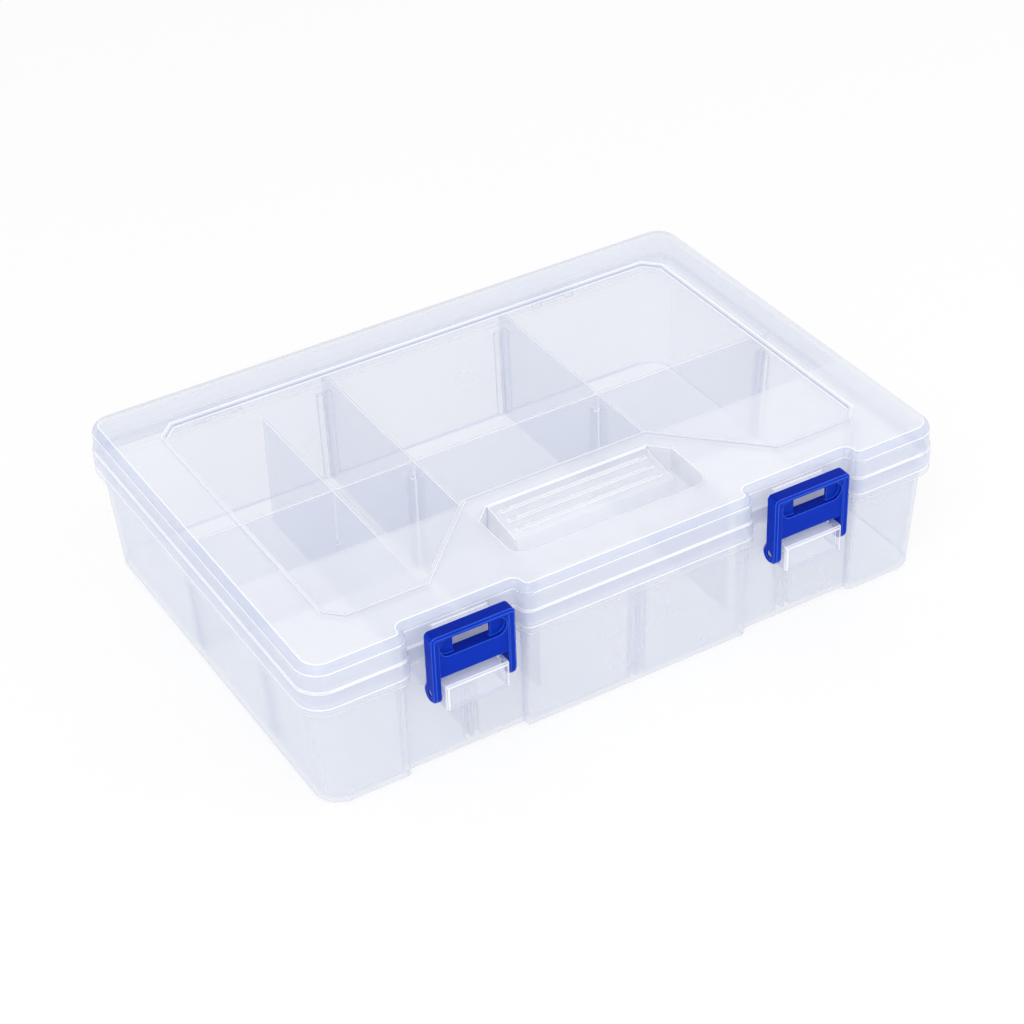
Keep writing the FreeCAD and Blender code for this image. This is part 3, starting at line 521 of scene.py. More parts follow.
@dataclass(frozen=True)
class Finishes:
    """Every finish of the box."""

    tray: Finish
    lid: Finish
    divider: Finish
    latch: Finish
    rib: Finish
    bead: Finish

    @classmethod
    def mixed(cls) -> "Finishes":
        """Make all the materials.

        Returns:
            The finishes, ready to assign.
        """
        milk = Tone((0.82, 0.85, 0.935), (0.76, 0.8, 0.915))
        dusk = Tone((0.75, 0.795, 0.92), (0.68, 0.735, 0.89))
        white = Tone((0.99, 0.99, 1.0), (0.93, 0.945, 0.99))
        # Paler tone for the tray floor: painted light.
        pale = Tone(white.shaded, milk.light)
        frost = Tone((0.92, 0.935, 0.98), (0.88, 0.9, 0.965))
        blue = Tone((0.62, 0.68, 0.86), (0.54, 0.61, 0.82))
        # Bluish line plastic: a painted shade, laid on the tray's dark edge lines and on the bead's
        # flanks.
        line = ClearPlastic("painted_shade_line", blue, haze=0.58, slant_haze=0.35, roughness=0.15)
        tray = Finish.of(
            ClearPlastic("tray_wall", milk, haze=0.28, slant_haze=0.4, roughness=0.22),
            # White, milkier edge plastic of the tray: a painted highlight on its rounded edges.
            ClearPlastic("tray_edge_highlight", white, haze=0.7, slant_haze=0.2, roughness=0.15),
            ClearPlastic("bracket_wall", milk, haze=0.26, slant_haze=0.4, roughness=0.1),
            line,
            ClearPlastic("tray_floor_painted_light", pale, haze=0.3, slant_haze=0.3, roughness=0.2),
            # Milkier copy of the wall plastic for the inner edges: painted edge lines.
            ClearPlastic("inner_painted_line", milk, haze=0.45, slant_haze=0.3, roughness=0.15),
        )
        # Both lid plastics carry a painted reflection: a milkier strip in front of the panel's
        # front edge.
        clear = ClearPlastic(
            "lid_clear", frost, haze=0.17, slant_haze=0.5, roughness=0.16, painted_reflection_haze=0.14
        )
        panel = ClearPlastic(
            "lid_panel", frost, haze=0.06, slant_haze=0.35, roughness=0.1, painted_reflection_haze=0.22
        )
        lid = Finish.of(
            clear,
            # White, milkier edge plastic of the lid: a painted highlight on its rounded edges.
            ClearPlastic("lid_edge_highlight", white, haze=0.75, slant_haze=0.2, roughness=0.12),
            panel,
            # Darker lavender copy of the lid plastic for its upright sides: a painted shade.
            ClearPlastic("lid_side_painted_shade", dusk, haze=0.34, slant_haze=0.4, roughness=0.18),
            # Bluish plastic for the band down the rounded top edge: a painted shade.
            ClearPlastic("lid_round_painted_shade", blue, haze=0.42, slant_haze=0.3, roughness=0.12),
            ClearPlastic("pocket_wall", white, haze=0.45, slant_haze=0.2, roughness=0.15),
        )
        divider = Finish.of(
            ClearPlastic("divider_face", dusk, haze=0.2, slant_haze=0.3, roughness=0.22),
            # White, milkier edge plastic of the dividers: a painted highlight on their upper edges.
            ClearPlastic("divider_edge_highlight", white, haze=0.8, slant_haze=0.2, roughness=0.2),
        )
        royal = Tone((0.002, 0.036, 0.5), (0.0015, 0.026, 0.41))
        bright = Tone((0.018, 0.095, 0.68), (0.01, 0.065, 0.58))
        # Darker navy copy of the latch blue: a painted shade.
        navy = Tone((0.001, 0.021, 0.37), (0.001, 0.015, 0.3))
        latch = Finish.of(
            LatchPlastic("latch_face", royal, roughness=0.36, gloss=0.05),
            # Lighter, glossier blue on the latch's rounded edges: a painted highlight.
            LatchPlastic("latch_edge", bright, roughness=0.2, gloss=0.35),
            LatchPlastic("latch_painted_shade", navy, roughness=0.34, gloss=0.05),
        )
        rib = ClearPlastic("grip_rib", white, haze=0.5, slant_haze=0.3, roughness=0.12)
        # White crest plastic of the bead: a painted highlight.
        crest_highlight = ClearPlastic("bead_crest", white, haze=0.6, slant_haze=0.3, roughness=0.1)
        return cls(tray, lid, divider, latch, Finish.of(rib), Finish.of(crest_highlight, line))


def add_object(name: str, data: bpy.types.ID) -> bpy.types.Object:
    """Put a new object into the scene.

    Args:
        name: Name of the object.
        data: Its mesh, light or camera.

    Returns:
        The object.
    """
    added = bpy.data.objects.new(name, data)
    bpy.context.scene.collection.objects.link(added)
    return added


def plain_mesh(piece: bpy.types.Object, name: str) -> None:
    """Replace an object's live modifiers by the mesh that they make.

    Args:
        piece: The object, changed in place.
        name: Name for the finished mesh.
    """
    graph = bpy.context.evaluated_depsgraph_get()
    mesh = bpy.data.meshes.new_from_object(
        piece.evaluated_get(graph), preserve_all_data_layers=True, depsgraph=graph
    )
    mesh.name = name
    piece.modifiers.clear()
    piece.data = mesh


class GeometryTree:
    """A Geometry Nodes tree with named inputs that is run once on a piece."""

    def __init__(self, name: str, inputs: Mapping[str, str]) -> None:
        """Start a tree.

        Args:
            name: Name of the tree.
            inputs: Socket type of each named input.
        """
        self.tree = bpy.data.node_groups.new(name, "GeometryNodeTree")
        sockets = self.tree.interface
        sockets.new_socket("Geometry", in_out="OUTPUT", socket_type="NodeSocketGeometry")
        for label, kind in inputs.items():
            sockets.new_socket(label, in_out="INPUT", socket_type=kind)
        sockets.new_socket("Finish", in_out="INPUT", socket_type="NodeSocketMaterial")
        self.graph = NodeGraph(self.tree)
        self.given = self.graph.make("NodeGroupInput")

    def value(self, label: str) -> Channel:
        """One of the named inputs as a channel."""
        return self.graph.output(self.given, label)

    def sweep(self, path: bpy.types.Node, sides: int, radius: Channel) -> bpy.types.Node:
        """Run a round section along a path.

        Args:
            path: Node whose first output is the path.
            sides: Number of sides of the section.
            radius: Radius along the path.

        Returns:
            The node that gives the skin.
        """
        ring = self.graph.make(
            "GeometryNodeCurvePrimitiveCircle", {}, {"Resolution": sides, "Radius": 1.0}
        )
        sockets = {
            "Curve": path.outputs[0],
            "Profile Curve": ring.outputs[0],
            "Scale": radius,
            "Fill Caps": True,
        }
        return self.graph.make("GeometryNodeCurveToMesh", {}, sockets)

    def close(self, shape: bpy.types.Node) -> None:
        """Smooth, realise and dress a shape, and hand it out.

        Args:
            shape: Node whose first output is the shape.
        """
        make = self.graph.make
        smooth = make("GeometryNodeSetShadeSmooth", {}, {"Geometry": shape.outputs[0]})
        real = make("GeometryNodeRealizeInstances", {}, {"Geometry": smooth.outputs[0]})
        dressed = make(
            "GeometryNodeSetMaterial",
            {},
            {"Geometry": real.outputs[0], "Material": self.value("Finish")},
        )
        make("NodeGroupOutput", {}, {0: dressed.outputs[0]})

    def run(self, piece: bpy.types.Object, sizes: Mapping[str, Any]) -> None:
        """Run the tree on a piece and keep the plain mesh.

        Args:
            piece: The object, changed in place.
            sizes: Values of the named inputs.
        """
        modifier = piece.modifiers.new(self.tree.name, "NODES")
        modifier.node_group = self.tree
        for item in self.tree.interface.items_tree:
            if item.in_out == "INPUT" and item.name in sizes:
                modifier[item.identifier] = sizes[item.name]
        plain_mesh(piece, piece.name)


@dataclass
class MouldedShell:
    """A moulded piece in its node's place, with its small edge rounds."""

    node: str
    body: Body
    slot: Slot
    zones: Sequence[Zone]
    edge_width: float
    edge_steps: int = 2
    edge_angle: float = math.radians(33.0)
    level_weight: int = 80
    flat_angle: float = math.radians(0.3)
    flat_slack: float = 0.000004
    tile_unit: float = 0.001
    tile_merge: float = 0.00001

    def build(self, finish: Finish) -> bpy.types.Object:
        """Round the edges, dress the piece and let it stand for its node.

        Args:
            finish: Materials of the faces, the rounded edges and the zones.

        Returns:
            The finished piece.
        """
        name = self.node + "_shell"
        piece = add_object(name, self.merged_copy(name))
        rounding = piece.modifiers.new("edge_round", "BEVEL")
        rounding.width = self.edge_width
        rounding.segments = self.edge_steps
        rounding.limit_method = "ANGLE"
        rounding.angle_limit = self.edge_angle
        rounding.use_clamp_overlap = False
        rounding.material = EDGE_SLOT
        for material in finish.slots:
            piece.data.materials.append(material)
        plain_mesh(piece, name)
        self.retile_flats(piece.data)
        self.dress_zones(piece.data)
        levelling = piece.modifiers.new("flat_faces", "WEIGHTED_NORMAL")
        levelling.weight = self.level_weight
        plain_mesh(piece, name)
        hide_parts(self.node)
        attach(piece, self.body.value)
        LOG.info("%s: %d faces", name, len(piece.data.polygons))
        return piece

    def dress_zones(self, mesh: bpy.types.Mesh) -> None:
        """Give the faces of each zone its slot. The last zone that holds a face wins.

        Args:
            mesh: The rounded mesh, changed in place.
        """
        for face in mesh.polygons:
            rounded = face.material_index == EDGE_SLOT
            for zone in self.zones:
                if zone.rounded == rounded and zone.holds(face.center, face.normal):
                    face.material_index = zone.slot_number

    def merged_copy(self, name: str) -> bpy.types.Mesh:
        """Copy the node's triangles as one closed skin with whole flat faces.

        Args:
            name: Name for the mesh.

        Returns:
            The merged, smooth-shaded mesh.
        """
        skin = bmesh.new()
        skin.from_mesh(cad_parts[self.node].data)
        bmesh.ops.remove_doubles(skin, verts=skin.verts, dist=MERGE_DISTANCE)
        bmesh.ops.dissolve_limit(
            skin, angle_limit=self.flat_angle, verts=skin.verts, edges=skin.edges
        )
        for face in skin.faces:
            face.smooth = True
            face.material_index = FACE_SLOT
        mesh = bpy.data.meshes.new(name)
        skin.to_mesh(mesh)
        skin.free()
        return mesh

    def retile_flats(self, mesh: bpy.types.Mesh) -> None:
        """Lay clean triangles over every flat of the rounded skin, holes left open.

        Args:
            mesh: The rounded mesh, changed in place.
        """
        skin = bmesh.new()
        skin.from_mesh(mesh)
        skin.faces.ensure_lookup_table()
        waiting = {
            face
            for face in skin.faces
            if face.material_index == FACE_SLOT and len(face.verts) > QUAD_CORNERS
        }
        while waiting:
            flat = self.gather_flat(max(waiting, key=lambda face: face.calc_area()))
            waiting -= flat
            self.retile(skin, flat)
        bmesh.ops.remove_doubles(skin, verts=skin.verts, dist=MERGE_DISTANCE)
        skin.to_mesh(mesh)
        skin.free()

    def gather_flat(self, seed: bmesh.types.BMFace) -> set[bmesh.types.BMFace]:
        """All faces that join the seed in its own plane.

        Args:
            seed: A large face of the flat.

        Returns:
            The faces of the flat, the seed among them.
        """
        normal, anchor = seed.normal.copy(), seed.calc_center_median()
        flat = {seed}
        edge_of_flat = [seed]
        while edge_of_flat:
            face = edge_of_flat.pop()
            for edge in face.edges:
                for other in edge.link_faces:
                    if other in flat or other.material_index != FACE_SLOT:
                        continue
                    if all(abs((v.co - anchor).dot(normal)) < self.flat_slack for v in other.verts):
                        flat.add(other)
                        edge_of_flat.append(other)
        return flat

    def retile(self, skin: bmesh.types.BMesh, flat: set[bmesh.types.BMFace]) -> None:
        """Replace one flat by triangles between its border lines.

        Args:
            skin: The mesh that the flat belongs to.
            flat: The faces to replace.
        """
        seed = max(flat, key=lambda face: face.calc_area())
        normal, anchor = seed.normal.copy(), seed.calc_center_median()
        across = normal.orthogonal().normalized()
        along = normal.cross(across)
        border = [e for f in flat for e in f.edges if sum(o in flat for o in e.link_faces) == 1]
        corners = list({v for e in border for v in e.verts})
        number = {v: i for i, v in enumerate(corners)}
        spots = [
            Vector(((v.co - anchor).dot(across), (v.co - anchor).dot(along))) / self.tile_unit
            for v in corners
        ]
        lines = [tuple(number[v] for v in e.verts) for e in border]
        points, _, tiles, sources, _, _ = delaunay_2d_cdt(
            spots, lines, [], INSIDE_TRIANGLES, self.tile_merge
        )
        tiles = self.inner_tiles(points, tiles, spots, lines)
        made = [
            corners[source[0]]
            if source
            else skin.verts.new(anchor + (across * p.x + along * p.y) * self.tile_unit)
            for p, source in zip(points, sources)
        ]
        bmesh.ops.delete(skin, geom=list(flat), context="FACES_ONLY")
        for tile in tiles:
            ring = [made[i] for i in tile]
            if len(set(ring)) < TRIANGLE_CORNERS or skin.faces.get(ring):
                continue
            face = skin.faces.new(ring)
            face.normal_update()
            if face.normal.dot(normal) < 0.0:
                face.normal_flip()
            face.smooth = True

    @staticmethod
    def inner_tiles(
        points: Sequence[Vector],
        tiles: Sequence[Sequence[int]],
        spots: Sequence[Vector],
        lines: Sequence[tuple[int, int]],
    ) -> list[Sequence[int]]:
        """Keep the triangles that lie inside the border lines and outside the holes.

        Args:
            points: Corners of the triangles.
            tiles: The triangles, as numbers of their corners.
            spots: Ends of the border lines.
            lines: The border lines, as pairs of numbers.

        Returns:
            The triangles whose middle has an odd count of border lines to one side.
        """
        corners = np.array([tuple(p) for p in points])
        middles = corners[np.array(tiles)].mean(axis=1)
        ends = np.array([tuple(s) for s in spots])[np.array(lines)]
        x, y = middles[:, None, 0], middles[:, None, 1]
        x_from, y_from = ends[None, :, 0, 0], ends[None, :, 0, 1]
        x_to, y_to = ends[None, :, 1, 0], ends[None, :, 1, 1]
        crosses = (y_from > y) != (y_to > y)
        rise = np.where(crosses, y_to - y_from, 1.0)
        meets = x_from + (x_to - x_from) * (y - y_from) / rise
        inside = (crosses & (x < meets)).sum(axis=1) % 2 == 1
        return [tile for tile, keep in zip(tiles, inside) if keep]


@dataclass
class BaseTray:
    """Tray with its rim, lip, slot ribs, brackets and hinge lugs."""

    edge_width: float = 0.00045
    bracket_low: Triple = (-0.0915, -0.106, 0.0325)
    bracket_high: Triple = (0.0915, -0.0938, 0.0445)
    bracket_slope: Slope = (-0.6, 1.01)
    bracket_edge_slope: Slope = (-0.3, 1.01)
    ceiling_low: Triple = (-0.0915, -0.106, 0.0415)
    ceiling_slope: Slope = (-1.01, -0.9)
    rim_low: float = 0.047
    rim_high: float = 0.0525
    floor_high: float = 0.0025
    hollow_low: Triple = (-0.1385, -0.0935, 0.0013)
    hollow_high: Triple = (0.1385, 0.0945, 0.047)

    def zones(self) -> tuple[Zone, ...]:
        """Brackets and floor, painted light on the floor, and painted edge lines: dark painted
        shade on the outer edges and under the bracket tops, milkier lines on the inner edges, and
        bright painted highlights on the rim and the brackets.

        Returns:
            The zones, of which the last one wins.
        """
        low, high = self.bracket_low, self.bracket_high
        return (
            Zone(TrayZone.BRACKET, low, high, self.bracket_slope),
            # Painted shade: the undersides of the bracket tops take the dark line plastic.
            Zone(TrayZone.SHADED_EDGE, self.ceiling_low, high, self.ceiling_slope),
            # Painted light: the level floor takes a paler copy of the tray plastic.
            Zone.layer(TrayZone.FLOOR, 0.0, self.floor_high),
            # Painted shade: every rounded edge of the tray first takes the dark line plastic.
            Zone(TrayZone.SHADED_EDGE, rounded=True),
            # Painted lines: rounded edges inside the hollow take a milkier copy of the wall
            # plastic.
            Zone(TrayZone.INNER_EDGE, self.hollow_low, self.hollow_high, rounded=True),
            # Painted highlight: the rim edges and the upward bracket edges take the white edge
            # plastic.
            Zone.layer(EDGE_SLOT, self.rim_low, self.rim_high, rounded=True),
            Zone(EDGE_SLOT, low, high, self.bracket_edge_slope, rounded=True),
        )

    def build(self, finishes: Finishes) -> list[bpy.types.Object]:
        """Make the tray.

        Args:
            finishes: The finishes of the box.

        Returns:
            The pieces made.
        """
        shell = MouldedShell("base_tray", Body.TRAY, Slot.CLEAR, self.zones(), self.edge_width)
        return [shell.build(finishes.tray)]


@dataclass
class HingedLid:
    """Lid shell, the ribs of its thumb shelf and the bead round its panel."""

    edge_width: float = 0.00045
    rib_count: int = 3
    rib_length: float = 0.067
    rib_radius: float = 0.0007
    rib_rows: int = 40
    rib_sides: int = 16
    rib_tip: float = 0.002
    first_rib: Triple = (0.0, -0.0506, 0.068618)
    rib_step: Triple = (0.0, -0.0056, -0.000952)
    panel_side: float = 0.1225
    panel_end: float = 0.076
    panel_cut: float = 0.007
    panel_turn: float = math.radians(45.0)
    notch_half: float = 0.0805
    notch_deep: float = 0.0383
    panel_floor: float = 0.0684
    panel_under: float = 0.0666
    height_slack: float = 0.00015
    bead_inset: float = 0.0008
    bead_height: float = 0.0692
    bead_radius: float = 0.0006
    # Least rise of a face that takes the crest's painted highlight.
    bead_crest: float = 0.72
    bead_turn: float = 0.0025
    bead_steps: int = 6
    bead_sides: int = 14
    pocket_low: Triple = (-0.0475, -0.0825, 0.055)
    pocket_high: Triple = (0.0475, -0.0445, 0.0655)
    shelf_low: Triple = (-0.0435, -0.0655, 0.0596)
    shelf_high: Triple = (0.0435, -0.0445, 0.0672)
    rail_low: Triple = (-0.098, -0.0985, 0.0615)
    rail_high: Triple = (0.098, -0.093, 0.0655)
    skirt_low: float = 0.0516
    round_low: float = 0.0655
    round_high: float = 0.0682
    round_top: float = 0.0702
    round_side: float = 0.1385
    round_back: float = 0.0925
    round_front: float = 0.0865
    shaded_band_slope: Slope = (0.3, 0.91)
    lower_highlight_slope: Slope = (0.2, 0.3)
    upper_highlight_slope: Slope = (0.92, 0.96)
    plain_edge_slope: Slope = (-1.01, 0.1)

    def zones(self) -> tuple[Zone, ...]:
        """Clear panel, bluish sides in a painted shade, and on the rounded top edge a bluish band
        of painted shade and bright lines of painted highlight.

        Returns:
            The zones, of which the last one wins.
        """
        return (
            # Painted shade: upright faces of the skirt, the crown and the front rail take the
            # darker lavender side plastic.
            Zone.layer(LidZone.SIDE, self.skirt_low, self.round_high, UPRIGHT),
            Zone(LidZone.SIDE, self.rail_low, self.rail_high),
            Zone(FACE_SLOT, self.pocket_low, self.pocket_high, UPRIGHT),
            self.panel_zone(self.panel_floor, LEVEL_TOP),
            self.panel_zone(self.panel_under, LEVEL_UNDERSIDE),
            Zone(LidZone.POCKET, self.shelf_low, self.shelf_high, UPRIGHT),
            # Painted shade: a bluish band down the rounded top edge. Painted highlight: white lines
            # at its lower and upper ends.
            *self.round_zones(LidZone.ROUND, self.shaded_band_slope),
            *self.round_zones(EDGE_SLOT, self.lower_highlight_slope),
            *self.round_zones(EDGE_SLOT, self.upper_highlight_slope),
            # Rounded edges that face down or sideways keep the face plastic, so the painted
            # highlight lies only on edges that face up.
            Zone(FACE_SLOT, slope=self.plain_edge_slope, rounded=True),
            Zone(FACE_SLOT, self.pocket_low, self.pocket_high, rounded=True),
            Zone(LidZone.SIDE, self.rail_low, self.rail_high, rounded=True),
        )

    def panel_zone(self, height: float, slope: Slope) -> Zone:
        """One side of the sunken panel.

        Args:
            height: Height of that side.
            slope: Least and greatest rise of its faces.

        Returns:
            The zone.
        """
        x, y, slack = self.panel_side, self.panel_end, self.height_slack
        return Zone(LidZone.PANEL, (-x, -y, height - slack), (x, y, height + slack), slope)

    def round_zones(self, slot_number: int, slope: Slope) -> list[Zone]:
        """One strip of the rounded top edge, on the four sides of the lid, dressed with a painted
        shade band or a painted highlight line.

        Args:
            slot_number: Slot that dresses the strip.
            slope: Least and greatest rise of its faces.

        Returns:
            A zone for each side.
        """
        low, top = self.round_low, self.round_top
        sides = (
            ((-FAR, -FAR, low), (-self.round_side, FAR, top)),
            ((self.round_side, -FAR, low), (FAR, FAR, top)),
            ((-FAR, -FAR, low), (FAR, -self.round_front, top)),
            ((-FAR, self.round_back, low), (FAR, FAR, top)),
        )
        return [Zone(slot_number, near, far, slope) for near, far in sides]

    def build(self, finishes: Finishes) -> list[bpy.types.Object]:
        """Make the lid, its ribs and its bead.

        Args:
            finishes: The finishes of the box.

        Returns:
            The pieces made.
        """
        shell = MouldedShell("lid", Body.LID, Slot.CLEAR, self.zones(), self.edge_width)
        return [
            shell.build(finishes.lid),
            self.build_ribs(finishes.rib),
            self.build_bead(finishes.bead),
        ]

    def finished(self, piece: bpy.types.Object) -> bpy.types.Object:
        """Let a part of the lid ride on it, and report it.

        Args:
            piece: The ribs or the bead.

        Returns:
            The same piece.
        """
        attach(piece, Body.LID.value)
        LOG.info("%s: %d faces", piece.name, len(piece.data.polygons))
        return piece

    def build_ribs(self, finish: Finish) -> bpy.types.Object:
        """Lay round-ended ribs down the slope of the thumb shelf.

        Args:
            finish: Material of the ribs.

        Returns:
            The ribs as one piece.
        """
        name = "grip_ribs"
        piece = add_object(name, bpy.data.meshes.new(name))
        sizes = {
            "Count": self.rib_count,
            "Length": self.rib_length,
            "Radius": self.rib_radius,
            "First": self.first_rib,
            "Step": self.rib_step,
            "Finish": finish.slots[FACE_SLOT],
        }
        self.rib_tree().run(piece, sizes)
        return self.finished(piece)

    def rib_tree(self) -> GeometryTree:
        """Geometry tree for a row of round-ended bars.

        Returns:
            The tree, with named inputs for its sizes.
        """
        tree = GeometryTree(
            "grip_ribs",
            {
                "Count": "NodeSocketInt",
                "Length": "NodeSocketFloat",
                "Radius": "NodeSocketFloat",
                "First": "NodeSocketVector",
                "Step": "NodeSocketVector",
            },
        )
        graph = tree.graph
        half = tree.value("Length") * 0.5
        radius = tree.value("Radius")
        line = graph.make("GeometryNodeCurvePrimitiveLine")
        rows = graph.make(
            "GeometryNodeResampleCurve", {}, {"Curve": line.outputs[0], "Count": self.rib_rows}
        )
        turn = graph.output(graph.make("GeometryNodeSplineParameter"), "Factor") * math.pi
        along = turn.reckon("COSINE", turn) * half
        spot = graph.make("ShaderNodeCombineXYZ", {}, {"X": along})
        spread = graph.make(
            "GeometryNodeSetPosition",
            {},
            {"Geometry": rows.outputs[0], "Position": spot.outputs[0]},
        )
        overrun = (along.reckon("ABSOLUTE", along) - (half - radius)).at_least(0.0) / radius
        dome = (1.0 - overrun * overrun).at_least(self.rib_tip)
        bar = tree.sweep(spread, self.rib_sides, radius * dome ** 0.5)
        row = graph.make(
            "GeometryNodeMeshLine",
            {"mode": "OFFSET"},
            {
                "Count": tree.value("Count"),
                "Start Location": tree.value("First"),
                "Offset": tree.value("Step"),
            },
        )
        placed = graph.make(
            "GeometryNodeInstanceOnPoints",
            {},
            {"Points": row.outputs[0], "Instance": bar.outputs[0]},
        )
        tree.close(placed)
        return tree

    def bead_corners(self) -> list[Triple]:
        """Corners of the bead's line: the panel's outline, set in on its bevel.

        Returns:
            The corners in order round the panel.
        """
        side, end = self.panel_side, self.panel_end
        inset, turn = self.bead_inset, self.bead_inset * math.tan(self.panel_turn / 2.0)
        near = self.notch_half - self.notch_deep
        right = [
            (near + turn, self.notch_deep + inset - end),
            (self.notch_half + turn, inset - end),
            (side - self.panel_cut - turn, inset - end),
            (side - inset, self.panel_cut + turn - end),
            (side - inset, end - self.panel_cut - turn),
            (side - self.panel_cut - turn, end - inset),
        ]
        left = [(-x, y) for x, y in reversed(right)]
        return [(x, y, self.bead_height) for x, y in right + left]

    def build_bead(self, finish: Finish) -> bpy.types.Object:
        """Run a rounded bead round the sunken panel.

        Args:
            finish: Materials of its crest, a painted highlight, and of its flanks, a painted shade.

        Returns:
            The bead.
        """
        name = "panel_bead"
        corners = self.bead_corners()
        count = len(corners)
        mesh = bpy.data.meshes.new(name)
        mesh.from_pydata(corners, [(i, (i + 1) % count) for i in range(count)], [])
        piece = add_object(name, mesh)
        tree = GeometryTree(
            name,
            {
                "Line": "NodeSocketGeometry",
                "Radius": "NodeSocketFloat",
                "Turn": "NodeSocketFloat",
            },
        )
        graph = tree.graph
        line = graph.make("GeometryNodeMeshToCurve", {}, {"Mesh": tree.value("Line")})
        bent = graph.make(
            "GeometryNodeFilletCurve",
            {"mode": "POLY"},
            {"Curve": line.outputs[0], "Radius": tree.value("Turn"), "Count": self.bead_steps},
        )
        tree.close(tree.sweep(bent, self.bead_sides, tree.value("Radius")))
        crest_highlight, flank_shade = finish.slots
        tree.run(piece, {"Radius": self.bead_radius, "Turn": self.bead_turn, "Finish": crest_highlight})
        piece.data.materials.append(flank_shade)
        # Painted highlight on the faces that look up, painted shade on the flanks.
        for face in piece.data.polygons:
            face.material_index = EDGE_SLOT if face.normal.z < self.bead_crest else FACE_SLOT
        return self.finished(piece)


@dataclass
class SwingLatch:
    """Blue latch that swings on the tray's bracket."""

    hand: Hand
    edge_width: float = 0.00024
    edge_steps: int = 3
    top_slope: Slope = (0.8, 1.01)
    border_front: float = -0.1051

    def build(self, finishes: Finishes) -> list[bpy.types.Object]:
        """Make the latch.

        Args:
            finishes: The finishes of the box.

        Returns:
            The pieces made.
        """
        node, body = self.hand.value
        # Painted shade: the top faces and the faces in front of the border take the darker navy
        # plastic.
        zones = (
            Zone(LatchZone.PAINTED_SHADE, slope=self.top_slope),
            Zone(LatchZone.PAINTED_SHADE, high=(FAR, self.border_front, FAR)),
        )
        shell = MouldedShell(node, body, Slot.LATCH, zones, self.edge_width, self.edge_steps)
        return [shell.build(finishes.latch)]


@dataclass
class DividerSet:
    """The six loose dividers in the tray."""

    nodes: Sequence[str] = (
        "left_cross_divider",
        "middle_cross_divider",
        "right_cross_divider",
        "left_long_divider",
        "middle_long_divider",
        "right_long_divider",
    )
    edge_width: float = 0.00036
    plain_edge_slope: Slope = (-1.01, 0.3)

    def build(self, finishes: Finishes) -> list[bpy.types.Object]:
        """Make the dividers.

        Args:
            finishes: The finishes of the box.

        Returns:
            The pieces made.
        """
        # Rounded edges that face down or sideways keep the face plastic, so the painted highlight
        # lies only on the upper edges.
        zones = (Zone(FACE_SLOT, slope=self.plain_edge_slope, rounded=True),)
        shells = [
            MouldedShell(node, Body.TRAY, Slot.DIVIDER, zones, self.edge_width)
            for node in self.nodes
        ]
        return [shell.build(finishes.divider) for shell in shells]


class Assembly(Protocol):
    """Anything that makes pieces of the box."""

    def build(self, finishes: Finishes) -> list[bpy.types.Object]:
        """Make the pieces and dress them."""


@dataclass
class SoftLamp:
    """A square soft lamp that points at the box."""

    name: str
    place: Triple
    watts: float
    size: float

    def build(self, aim: Vector) -> None:
        """Hang the lamp.

        Args:
            aim: The point that it faces.
        """
        light = bpy.data.lights.new(self.name, "AREA")
        light.energy = self.watts
        light.size = self.size
        lamp = add_object(self.name, light)
        lamp.location = self.place
        lamp.rotation_euler = (aim - Vector(self.place)).to_track_quat("-Z", "Y").to_euler()


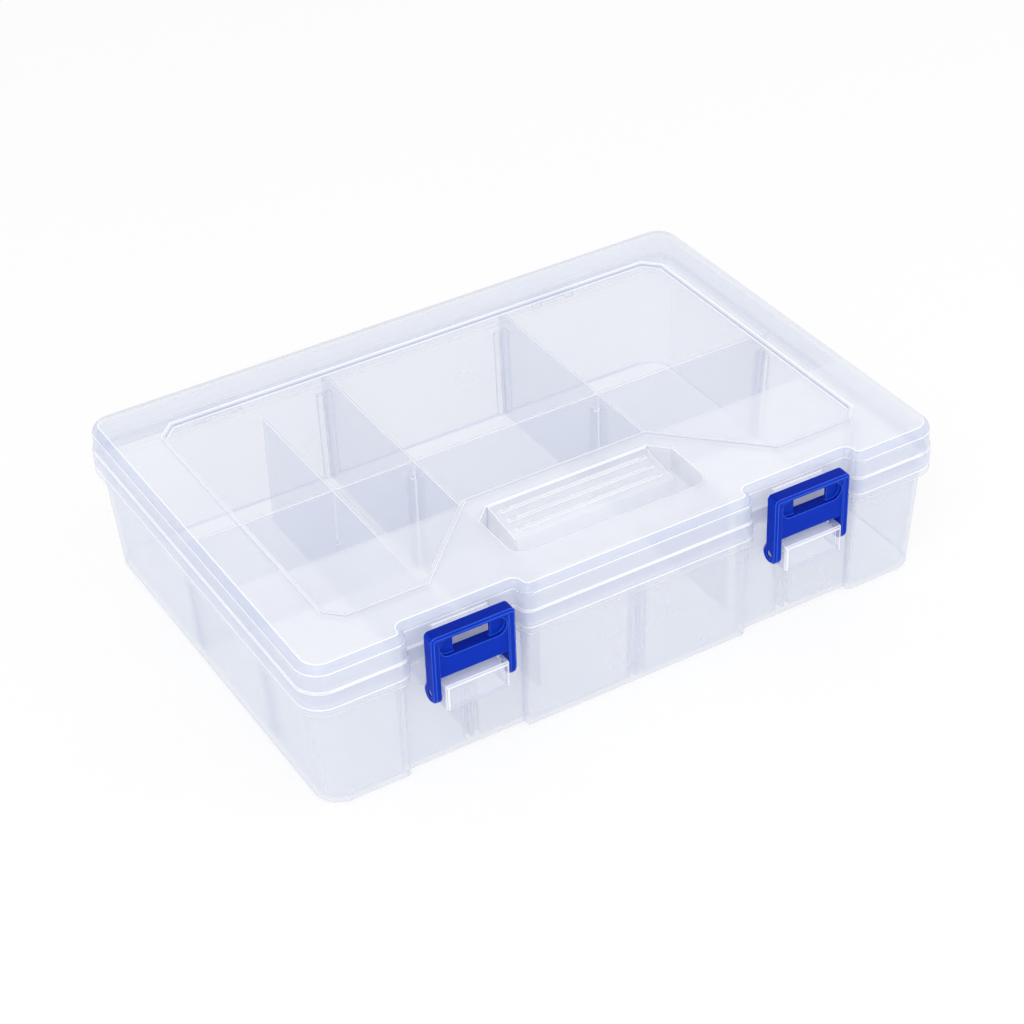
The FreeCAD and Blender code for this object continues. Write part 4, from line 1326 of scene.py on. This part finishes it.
@dataclass
class Studio:
    """Floor, lamps, white surroundings and the camera."""

    floor_half: float = 4.0
    floor_drop: float = 0.0002
    sky_level: float = 0.78
    aim: Triple = (0.0, 0.0, 0.035)
    azimuth: float = math.radians(-30.055)
    elevation: float = math.radians(35.902)
    roll: float = math.radians(-2.176)
    distance: float = 1.04419
    slide: tuple[float, float] = (0.00083, -0.00865)
    lens: float = 88.45
    sensor: float = 36.0
    near_clip: float = 0.01
    clear_layers: int = 64
    lamps: Sequence[SoftLamp] = (
        SoftLamp("key_lamp", (-1.1, -1.0, 1.7), watts=16.0, size=1.2),
        SoftLamp("fill_lamp", (1.4, -0.8, 1.1), watts=6.0, size=1.4),
    )

    def build(self) -> None:
        """Set up everything that isn't the box."""
        scene = bpy.context.scene
        scene.view_settings.view_transform = "Standard"
        scene.cycles.transparent_max_bounces = self.clear_layers
        self.build_floor()
        self.build_sky()
        for lamp in self.lamps:
            lamp.build(Vector(self.aim))
        self.build_camera()

    def build_floor(self) -> None:
        """Lay a wide white floor just under the box."""
        skin = bmesh.new()
        bmesh.ops.create_grid(skin, x_segments=1, y_segments=1, size=self.floor_half)
        bmesh.ops.translate(skin, verts=skin.verts, vec=(0.0, 0.0, -self.floor_drop))
        mesh = bpy.data.meshes.new("floor")
        skin.to_mesh(mesh)
        skin.free()
        mesh.materials.append(PaleFloor().material())
        floor = add_object("floor", mesh)

    def build_sky(self) -> None:
        """Surround the box with even light that is white where it is seen."""
        world = bpy.data.worlds.new("studio")
        bpy.context.scene.world = world
        graph = NodeGraph.emptied(world)
        level = self.sky_level + graph.seen() * (1.0 - self.sky_level)
        sky = graph.make("ShaderNodeBackground", {}, {"Color": WHITE, "Strength": level})
        graph.make("ShaderNodeOutputWorld", {}, {"Surface": sky.outputs[0]})

    def build_camera(self) -> None:
        """Stand the camera where the photograph was taken from."""
        turn, lift, roll = self.azimuth, self.elevation, self.roll
        level = Vector((math.cos(turn), math.sin(turn), 0.0))
        back = Vector(
            (
                math.sin(turn) * math.cos(lift),
                -math.cos(turn) * math.cos(lift),
                math.sin(lift),
            )
        )
        rise = back.cross(level)
        right = level * math.cos(roll) + rise * math.sin(roll)
        up = rise * math.cos(roll) - level * math.sin(roll)
        aim = Vector(self.aim) + right * self.slide[0] + up * self.slide[1]
        place = aim + back * self.distance
        data = bpy.data.cameras.new("camera")
        data.lens = self.lens
        data.sensor_width = self.sensor
        data.clip_start = self.near_clip
        camera = add_object("camera", data)
        camera.matrix_world = Matrix(
            (
                (right.x, up.x, back.x, place.x),
                (right.y, up.y, back.y, place.y),
                (right.z, up.z, back.z, place.z),
                (0.0, 0.0, 0.0, 1.0),
            )
        )
        bpy.context.scene.camera = camera


def main() -> None:
    """Build the box and the studio in order."""
    logging.basicConfig(level=logging.INFO, format="%(message)s")
    finishes = Finishes.mixed()
    assemblies: Sequence[Assembly] = (
        BaseTray(),
        HingedLid(),
        SwingLatch(Hand.LEFT),
        SwingLatch(Hand.RIGHT),
        DividerSet(),
    )
    pieces = [piece for assembly in assemblies for piece in assembly.build(finishes)]
    Studio().build()
    LOG.info("%d pieces", len(pieces))


if __name__ == "__main__":
    main()
